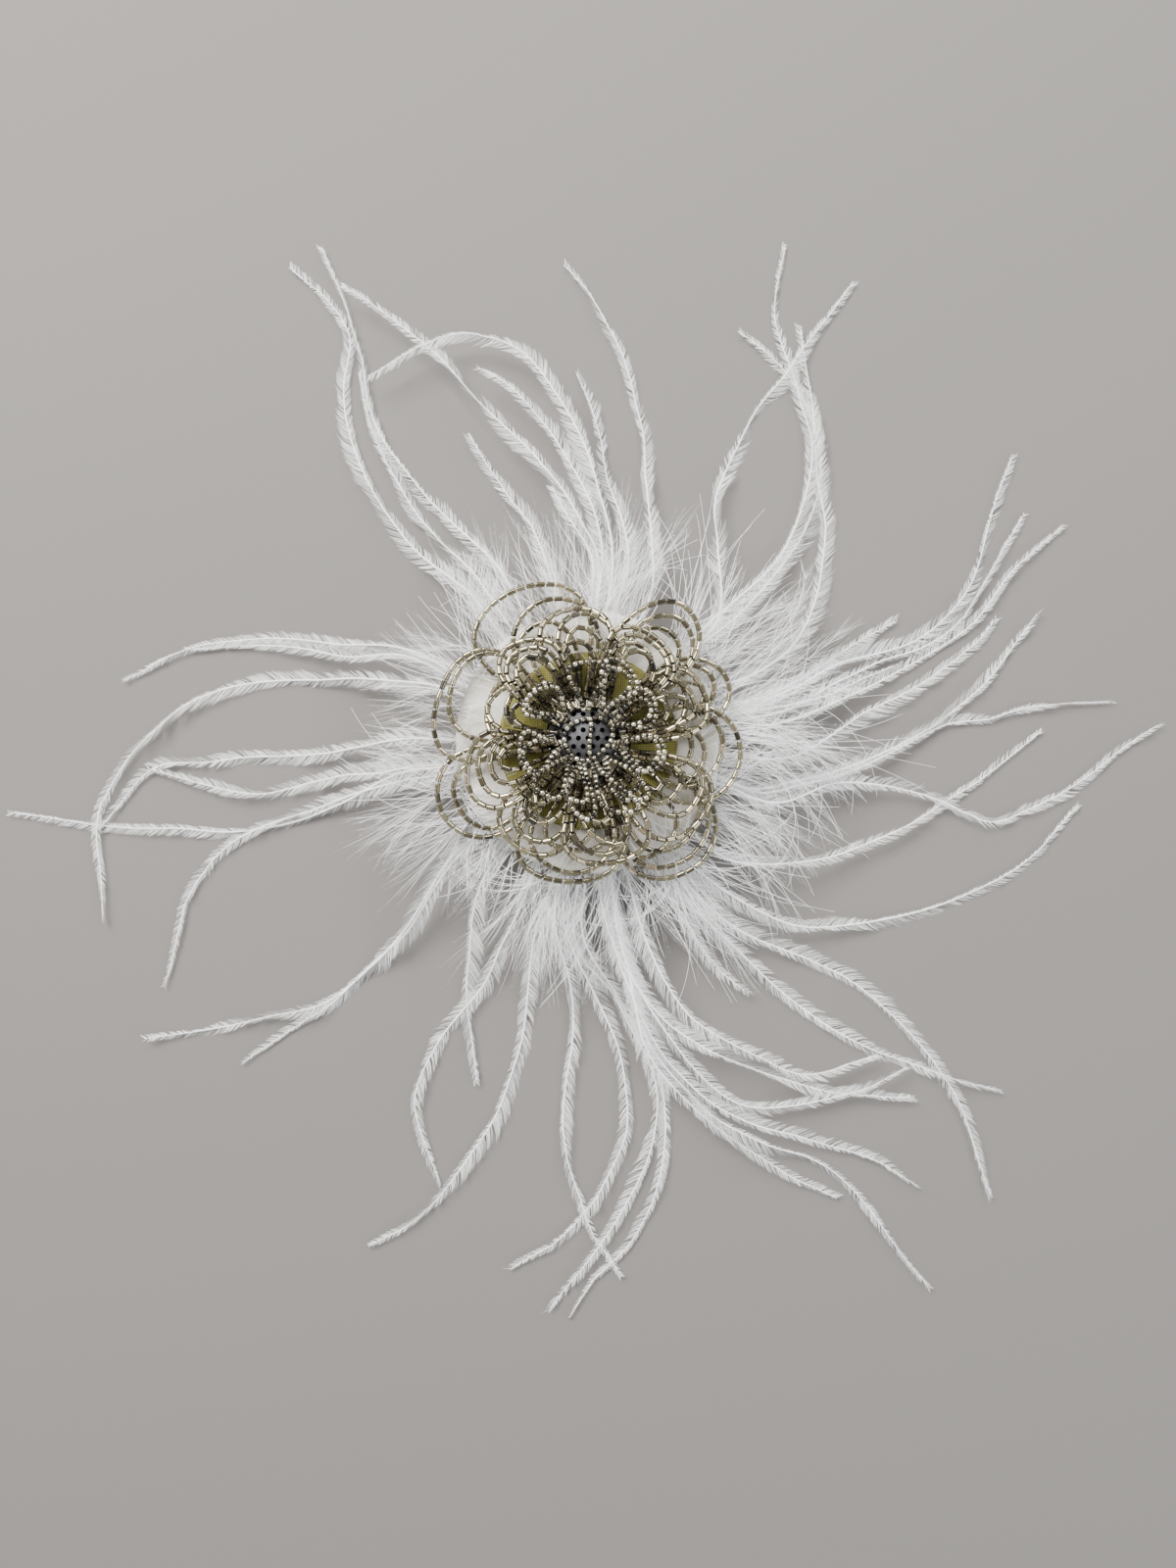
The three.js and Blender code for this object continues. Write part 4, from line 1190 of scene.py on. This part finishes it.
# how much shorter and narrower each nested loop is than the one round it
NEST = {"outer": (0.14, 0.23), "middle": (0.13, 0.24), "inner": (0.12, 0.2)}
DOME_HEIGHT, BESIDE_DOME_DROP = 4.0, 0.6
LOOP_POINTS = 160
FAN_BULGE = 1.2
BEAD_CLEARANCE = 0.65  # from the dome's face to the thread
STACK_FROM, STACK_TO = -0.5, 1.5  # measured outwards from the hole
NEST_LIFT, NEST_TURN = (-0.5, 0.7), 3.5
LOOP_WOBBLE = (36, 0.75)


def dome_ball():
    """The dome's rim radius, the radius of the ball that it is a slice of, and that ball's height."""
    low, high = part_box("sieve_dome")
    rim = (high.x - low.x) / 2 / MM
    ball = (rim**2 + DOME_HEIGHT**2) / (2 * DOME_HEIGHT)
    return rim, ball, low.z / MM + DOME_HEIGHT - ball


def dome_at(radius):
    """The sieve dome's height at a distance from the axis, and a gentle slope beyond its rim."""
    rim, ball, middle = dome_ball()
    inside = middle + np.sqrt(ball**2 - np.minimum(radius, rim) ** 2)
    return inside - BESIDE_DOME_DROP * np.maximum(radius - rim, 0)


def petal_line(petal, nest, loops, spacing, skew, rng):
    """One loop of a petal, from its hole out and back, in millimetres."""
    ring, bearing, reach, width, lift, arch, _ = petal
    shape = RINGS[ring]
    hole, root = shape["hole"], shape["cad_root"]
    size, narrow = (1 - step * spacing * nest for step in NEST[ring])
    t = np.linspace(0, 1, LOOP_POINTS)
    rise, swing = np.sin(math.pi * t), np.cos(math.pi * t)
    along = rise**2
    power = 2 * shape["waist"] + 1
    # peak is how wide the curve gets by itself, so that the loop comes out as wide as the table says
    peak = 2 * (power / (power + 1)) ** (power / 2) * (1 / (power + 1)) ** 0.5
    aside = width / 2 * narrow * 2 * rise**power * swing / peak
    fan = shape["fan"] * (1 - nest / loops)
    aside += fan * swing * (1 - along) * (1 + FAN_BULGE * along) + skew * along**2
    tip = hole + (reach - hole) * size
    out = hole + (tip - hole) * along
    share = np.clip((out - root) / (reach - root), 0, 1)
    height = shape["root_height"] + lift * (1 - (1 - share) ** 3) + arch * np.sin(math.pi * share)
    height = np.where(out < root, 0, height)
    over = smoothstep(hole + STACK_FROM, hole + STACK_TO, out) * shape["stack"]
    height = np.maximum(height, dome_at(out) + BEAD_CLEARANCE + over)
    nested = nest > 0
    height += nested * rng.uniform(*NEST_LIFT) * along
    wobble = slow_noise(rng, len(t), *LOOP_WOBBLE) * along
    turn = math.radians(bearing + nested * rng.normal(0, NEST_TURN))
    x = (out + wobble) * math.cos(turn) - (aside + wobble) * math.sin(turn)
    y = (out + wobble) * math.sin(turn) + (aside + wobble) * math.cos(turn)
    return np.stack([x, y, height], 1)


print("height of the dome's middle and rim, mm:")
print([round(float(dome_at(radius)), 1) for radius in (0, dome_ball()[0])])

# %% [markdown]
# Every petal becomes one piece on its CAD node. The inner ring is strung with seed beads and the two
# others with bugles, and bugle loops further inside a petal are given a little painted shade.

# %% String the petals
PETAL_SEED = 300
SPACING_RANGE = (0.5, 1.15)
# each ring's bead tones, and how much of the painted shade near the flower's middle it gets
SEED_TONES, SEED_CENTRE_SHADE = (0.5, 0.26), 0.6
BUGLE_TONE, NESTED_LOOP_SHADE, BUGLE_TONE_SPREAD, BUGLE_CENTRE_SHADE = 0.6, 0.04, 0.16, 0.75

counts, bugles, seeds = {}, 0, 0
for number, petal in enumerate(PETALS):
    ring, loops = petal[0], petal[-1]
    counts[ring] = counts.get(ring, 0) + 1
    node = f"{ring}_petal_{counts[ring]}"
    rng = np.random.default_rng(PETAL_SEED + number)
    heap = Heap()
    spacing = rng.uniform(*SPACING_RANGE)
    skew = rng.normal(0, RINGS[ring]["skew"])
    for nest in range(loops):
        line = petal_line(petal, nest, loops, spacing, skew, rng)
        if ring == "inner":
            seeds += string_beads(heap, line, SEED, SEED_PITCH, rng, SEED_TONES, SEED_CENTRE_SHADE)
        else:
            # painted shade: each bugle loop further in is a step darker
            tones = (BUGLE_TONE - NESTED_LOOP_SHADE * nest, BUGLE_TONE_SPREAD)
            bugles += string_beads(heap, line, BUGLE, BUGLE_PITCH, rng, tones, BUGLE_CENTRE_SHADE)
    glass, slot = (seed_glass, "seed_glass") if ring == "inner" else (bugle_glass, "bugle_glass")
    stand_for(heap.build(node + "_beads", [glass, nylon]), "flower", slot, node)
print("petals:", counts, "bugle beads:", bugles, "seed beads:", seeds)

# %% [markdown]
# The last strand of seed beads is sewn round the middle of the dome, a little unevenly, and one short
# strand crosses it. Both lie on the dome, so their height comes from it.

# %% Centre ring
CENTRE_SEED = 400
CENTRE_TONES = (0.52, 0.24)
AROUND_RADIUS, AROUND_HEIGHT, AROUND_POINTS = 5.2, 0.8, 80
AROUND_OVAL, AROUND_OVAL_TURN, AROUND_LOBES = 0.6, 0.6, 0.35
ACROSS_FROM, ACROSS_TO, ACROSS_HEIGHT, ACROSS_POINTS = 4.9, -5.2, 0.78, 30
ACROSS_X, ACROSS_SWAY, ACROSS_WAVE = 0.5, 0.25, 0.7


def centre_ring():
    """The seed strands that are sewn on the dome itself. Returns how many beads they have."""
    rng = np.random.default_rng(CENTRE_SEED)
    heap = Heap()
    turn = np.linspace(0, 2 * math.pi, AROUND_POINTS)
    radius = AROUND_RADIUS + AROUND_OVAL * np.sin(turn * 2 + AROUND_OVAL_TURN)
    radius = radius + AROUND_LOBES * np.sin(turn * 3)
    around = np.stack([radius * np.cos(turn), radius * np.sin(turn), dome_at(radius) + AROUND_HEIGHT], 1)
    y = np.linspace(ACROSS_FROM, ACROSS_TO, ACROSS_POINTS)
    x = ACROSS_X + ACROSS_SWAY * np.sin(y * ACROSS_WAVE)
    across = np.stack([x, y, dome_at(np.hypot(x, y)) + ACROSS_HEIGHT], 1)
    count = sum(string_beads(heap, line, SEED, SEED_PITCH, rng, CENTRE_TONES) for line in (around, across))
    stand_for(heap.build("centre_seed_ring", [seed_glass, nylon]), "flower", "seed_glass")
    return count


print("seed beads on the dome:", centre_ring())

# %% [markdown]
# ## Sieve dome
# The beads are sewn to a sieve: a thin steel dome with rows of punched holes, clamped to a plate. Plated
# steel is never a perfect mirror: wear leaves cloudy marks in its gloss, which one noise gives to both
# the colour and the roughness.

# %% Plated metals
def plated_metal(name, base, worn, roughness, grain):
    """Plated steel: metallic, with faint rubbing marks in its gloss and colour."""
    material, tree = new_material(name)
    where = put(tree, "ShaderNodeTexCoord").outputs["Object"]
    marks = put(
        tree, "ShaderNodeTexNoise", {"Vector": where, "Scale": grain, "Detail": 8.0, "Roughness": 0.7}
    ).outputs[0]
    rough = put(
        tree,
        "ShaderNodeMapRange",
        {"Value": marks, "To Min": roughness - 0.08, "To Max": roughness + 0.14},
    )
    surface(
        tree,
        {
            "Base Color": ramp(tree, marks, [(0.35, worn), (0.6, base)]),
            "Metallic": 1.0,
            "Roughness": rough.outputs[0],
        },
    )
    return material


sieve_metal = plated_metal("grey_rhodium_plate", "5C5C5E", "454547", 0.52, 900.0)
# painted shade: the plate behind the sieve is near black, like the shade seen through its holes
shade_steel = plated_metal("steel_painted_as_shade", "2C2B2A", "1C1B1A", 0.55, 900.0)
nickel = plated_metal("bright_nickel_plate", "C9C6C0", "A5A29B", 0.22, 500.0)
spring_steel = plated_metal("spring_steel", "A6A4A0", "7C7A77", 0.3, 700.0)
print("metals:", sieve_metal.name, shade_steel.name, nickel.name, spring_steel.name)

# %% [markdown]
# The holes could be cut with a Boolean, but dozens of cutters on a thin curved sheet are slow and leave
# slivers. Here the sheet is drawn flat instead, as an outline with round holes. It is filled with
# triangles, and each point is then raised to the dome's height, which keeps the holes true circles seen
# from above.

# %% Draw the pierced sheet
HOLE_RADIUS, HOLE_PITCH, HOLE_ROWS, HOLES_IN_ROW = 0.62, 2.2, range(-5, 6), range(-6, 7)
HOLE_SIDES, RIM_SIDES = 14, 96
RIM_MARGIN = 1.3  # from a hole's middle to the rim
FILL_RINGS = np.linspace(0.08, 0.96, 12)  # shares of the radius
FILL_PER_MM, FILL_LEAST = 6, 6
FILL_GAP = 0.2  # from a hole's edge
INSIDE_HOLE = 0.97
SAME_POINT = 1e-5


def round_points(x, y, radius, count):
    """Points round a circle."""
    turn = np.arange(count) * math.tau / count
    return [Vector((x + radius * math.cos(a), y + radius * math.sin(a))) for a in turn]


def hole_centres(radius):
    """The middles of the punched holes, in staggered rows."""
    grid = [
        ((i + (row % 2) / 2) * HOLE_PITCH, row * HOLE_PITCH * math.sqrt(3) / 2)
        for row in HOLE_ROWS
        for i in HOLES_IN_ROW
    ]
    return [place for place in grid if math.hypot(*place) < radius - RIM_MARGIN]


def clear_of(point, centres, gap):
    """Whether a point is further than the gap from every centre."""
    return all((point - Vector(c)).length > gap for c in centres)


def pierced_sheet(radius, centres):
    """A flat round sheet with holes in it: its points and its triangles."""
    points = round_points(0, 0, radius, RIM_SIDES)
    edges = [(i, (i + 1) % RIM_SIDES) for i in range(RIM_SIDES)]
    for x, y in centres:
        first = len(points)
        points += round_points(x, y, HOLE_RADIUS, HOLE_SIDES)
        edges += [(first + i, first + (i + 1) % HOLE_SIDES) for i in range(HOLE_SIDES)]
    for ring in FILL_RINGS * radius:
        fill = round_points(0, 0, ring, max(FILL_LEAST, int(ring * FILL_PER_MM)))
        points += [p for p in fill if clear_of(p, centres, HOLE_RADIUS + FILL_GAP)]
    flat, _, triangles, *_ = delaunay_2d_cdt(points, edges, [], 0, SAME_POINT)
    kept = []
    for triangle in triangles:
        middle = sum((flat[i] for i in triangle), Vector((0, 0))) / 3
        if clear_of(middle, centres, HOLE_RADIUS * INSIDE_HOLE):
            kept.append(triangle)
    return flat, kept


rim_radius, ball_radius, ball_height = dome_ball()
holes = hole_centres(rim_radius)
sheet_points, sheet_triangles = pierced_sheet(rim_radius, holes)
print("holes in the sieve:", len(holes), "triangles:", len(sheet_triangles))

# %% [markdown]
# The raised sheet gets its wall from a Solidify modifier. The result is turned back into a plain mesh, so
# that its edges can be marked: sharp at the holes and smooth over the dome.

# %% Raise the dome
DOME_WALL = 0.6
SHARP_FROM = math.radians(35)


def raised(p):
    """A point of the flat sheet, lifted to the dome."""
    return (p.x, p.y, ball_height + math.sqrt(ball_radius**2 - p.length_squared))


mesh = bpy.data.meshes.new("pierced_dome")
mesh.from_pydata([[c * MM for c in raised(p)] for p in sheet_points], [], sheet_triangles)
mesh.materials.append(sieve_metal)
mesh.polygons.foreach_set("use_smooth", [True] * len(mesh.polygons))
dome = bpy.data.objects.new("pierced_dome", mesh)
bpy.context.scene.collection.objects.link(dome)
shell = dome.modifiers.new("wall", "SOLIDIFY")
shell.thickness = DOME_WALL * MM
shell.offset = -1
dome.data = bpy.data.meshes.new_from_object(dome.evaluated_get(bpy.context.evaluated_depsgraph_get()))
dome.modifiers.clear()
dome.data.set_sharp_from_angle(angle=SHARP_FROM)
stand_for(dome, "flower", "sieve_metal", "sieve_dome")
print("faces of the dome:", len(dome.data.polygons))

# %% [markdown]
# ## Metal parts from the frame
# The clip, the pin and their plates are already the right shape in the CAD frame, so they stay. Stamped
# and plated steel never has a razor edge, so each gets a fine bevel, as tumbling leaves it, and a
# plated finish.

# %% Finish the metal parts
BEVEL_STEPS, BEVEL_FROM = 2, math.radians(40)
NICKEL_PARTS = {  # name, width of the bevel
    "back_plate": 0.25, "clip_arm": 0.15, "clip_jaw": 0.15, "clip_hinge_pin": 0.08,
    "pin_hinge_block": 0.1, "pin_rivet": 0.08, "pin_catch": 0.06, "catch_collar": 0.06, "brooch_pin": 0.05,
}
for name, bevel in NICKEL_PARTS.items():
    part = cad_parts[name]
    part.data.materials.clear()
    part.data.materials.append(nickel)
    edge = part.modifiers.new("tumbled_edge", "BEVEL")
    edge.width = bevel * MM
    edge.segments = BEVEL_STEPS
    edge.limit_method = "ANGLE"
    edge.angle_limit = BEVEL_FROM
# painted shade: the sieve's back plate takes the near-black steel, so its holes read dark
sieve_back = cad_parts["sieve_plate"].data.materials
sieve_back.clear()
sieve_back.append(shade_steel)
print("metal parts:", len(NICKEL_PARTS) + 1)

# %% [markdown]
# ## Clip spring
# The clip snaps shut because a wire is wound round its hinge pin and one end pushes each jaw. A curve
# with a round bevel is the quickest wire there is: its points are the path, and its bevel the gauge. The
# lower end is a piece of its own, so that it can swing with the jaw, while the coil stays where it is.

# %% Wind the spring
COIL_AT = (8.0, 3.0)  # the hinge pin's x and z
COIL_RADIUS, COIL_TURNS, COIL_HALF, COIL_POINTS = 1.35, 5.5, 1.68, 120
WIRE_RADIUS, WIRE_ROUNDNESS = 0.28, 3
LEG_END, UPPER_LEG, LOWER_LEG = 3.1, 4.5, 1.4


def bent_wire(name, body, points, *nodes):
    """A round steel wire along points in millimetres."""
    curve = bpy.data.curves.new(name, "CURVE")
    curve.dimensions = "3D"
    curve.bevel_depth = WIRE_RADIUS * MM
    curve.bevel_resolution = WIRE_ROUNDNESS
    curve.use_fill_caps = True
    run = curve.splines.new("POLY")
    run.points.add(len(points) - 1)
    for spot, place in zip(run.points, points):
        spot.co = (place[0] * MM, place[1] * MM, place[2] * MM, 1)
    mesh = bpy.data.meshes.new_from_object(bpy.data.objects.new(name + "_path", curve))
    mesh.materials.append(spring_steel)
    mesh.polygons.foreach_set("use_smooth", [True] * len(mesh.polygons))
    wire = bpy.data.objects.new(name, mesh)
    bpy.context.scene.collection.objects.link(wire)
    stand_for(wire, body, "spring_steel", *nodes)
    return len(mesh.polygons)


winding = np.linspace(0, 1, COIL_POINTS)
swing = winding * COIL_TURNS * math.tau
coil = np.stack(
    [
        COIL_AT[0] + COIL_RADIUS * np.sin(swing),
        COIL_HALF * (2 * winding - 1),
        COIL_AT[1] + COIL_RADIUS * np.cos(swing),
    ],
    1,
)
upper = (LEG_END, -COIL_HALF, UPPER_LEG)
lower = (LEG_END, COIL_HALF, LOWER_LEG)
faces = bent_wire("spring_coil", "flower", [upper, *coil], "clip_spring")
faces += bent_wire("spring_lower_leg", "clip_jaw", [coil[-1], lower])
print("spring faces:", faces)
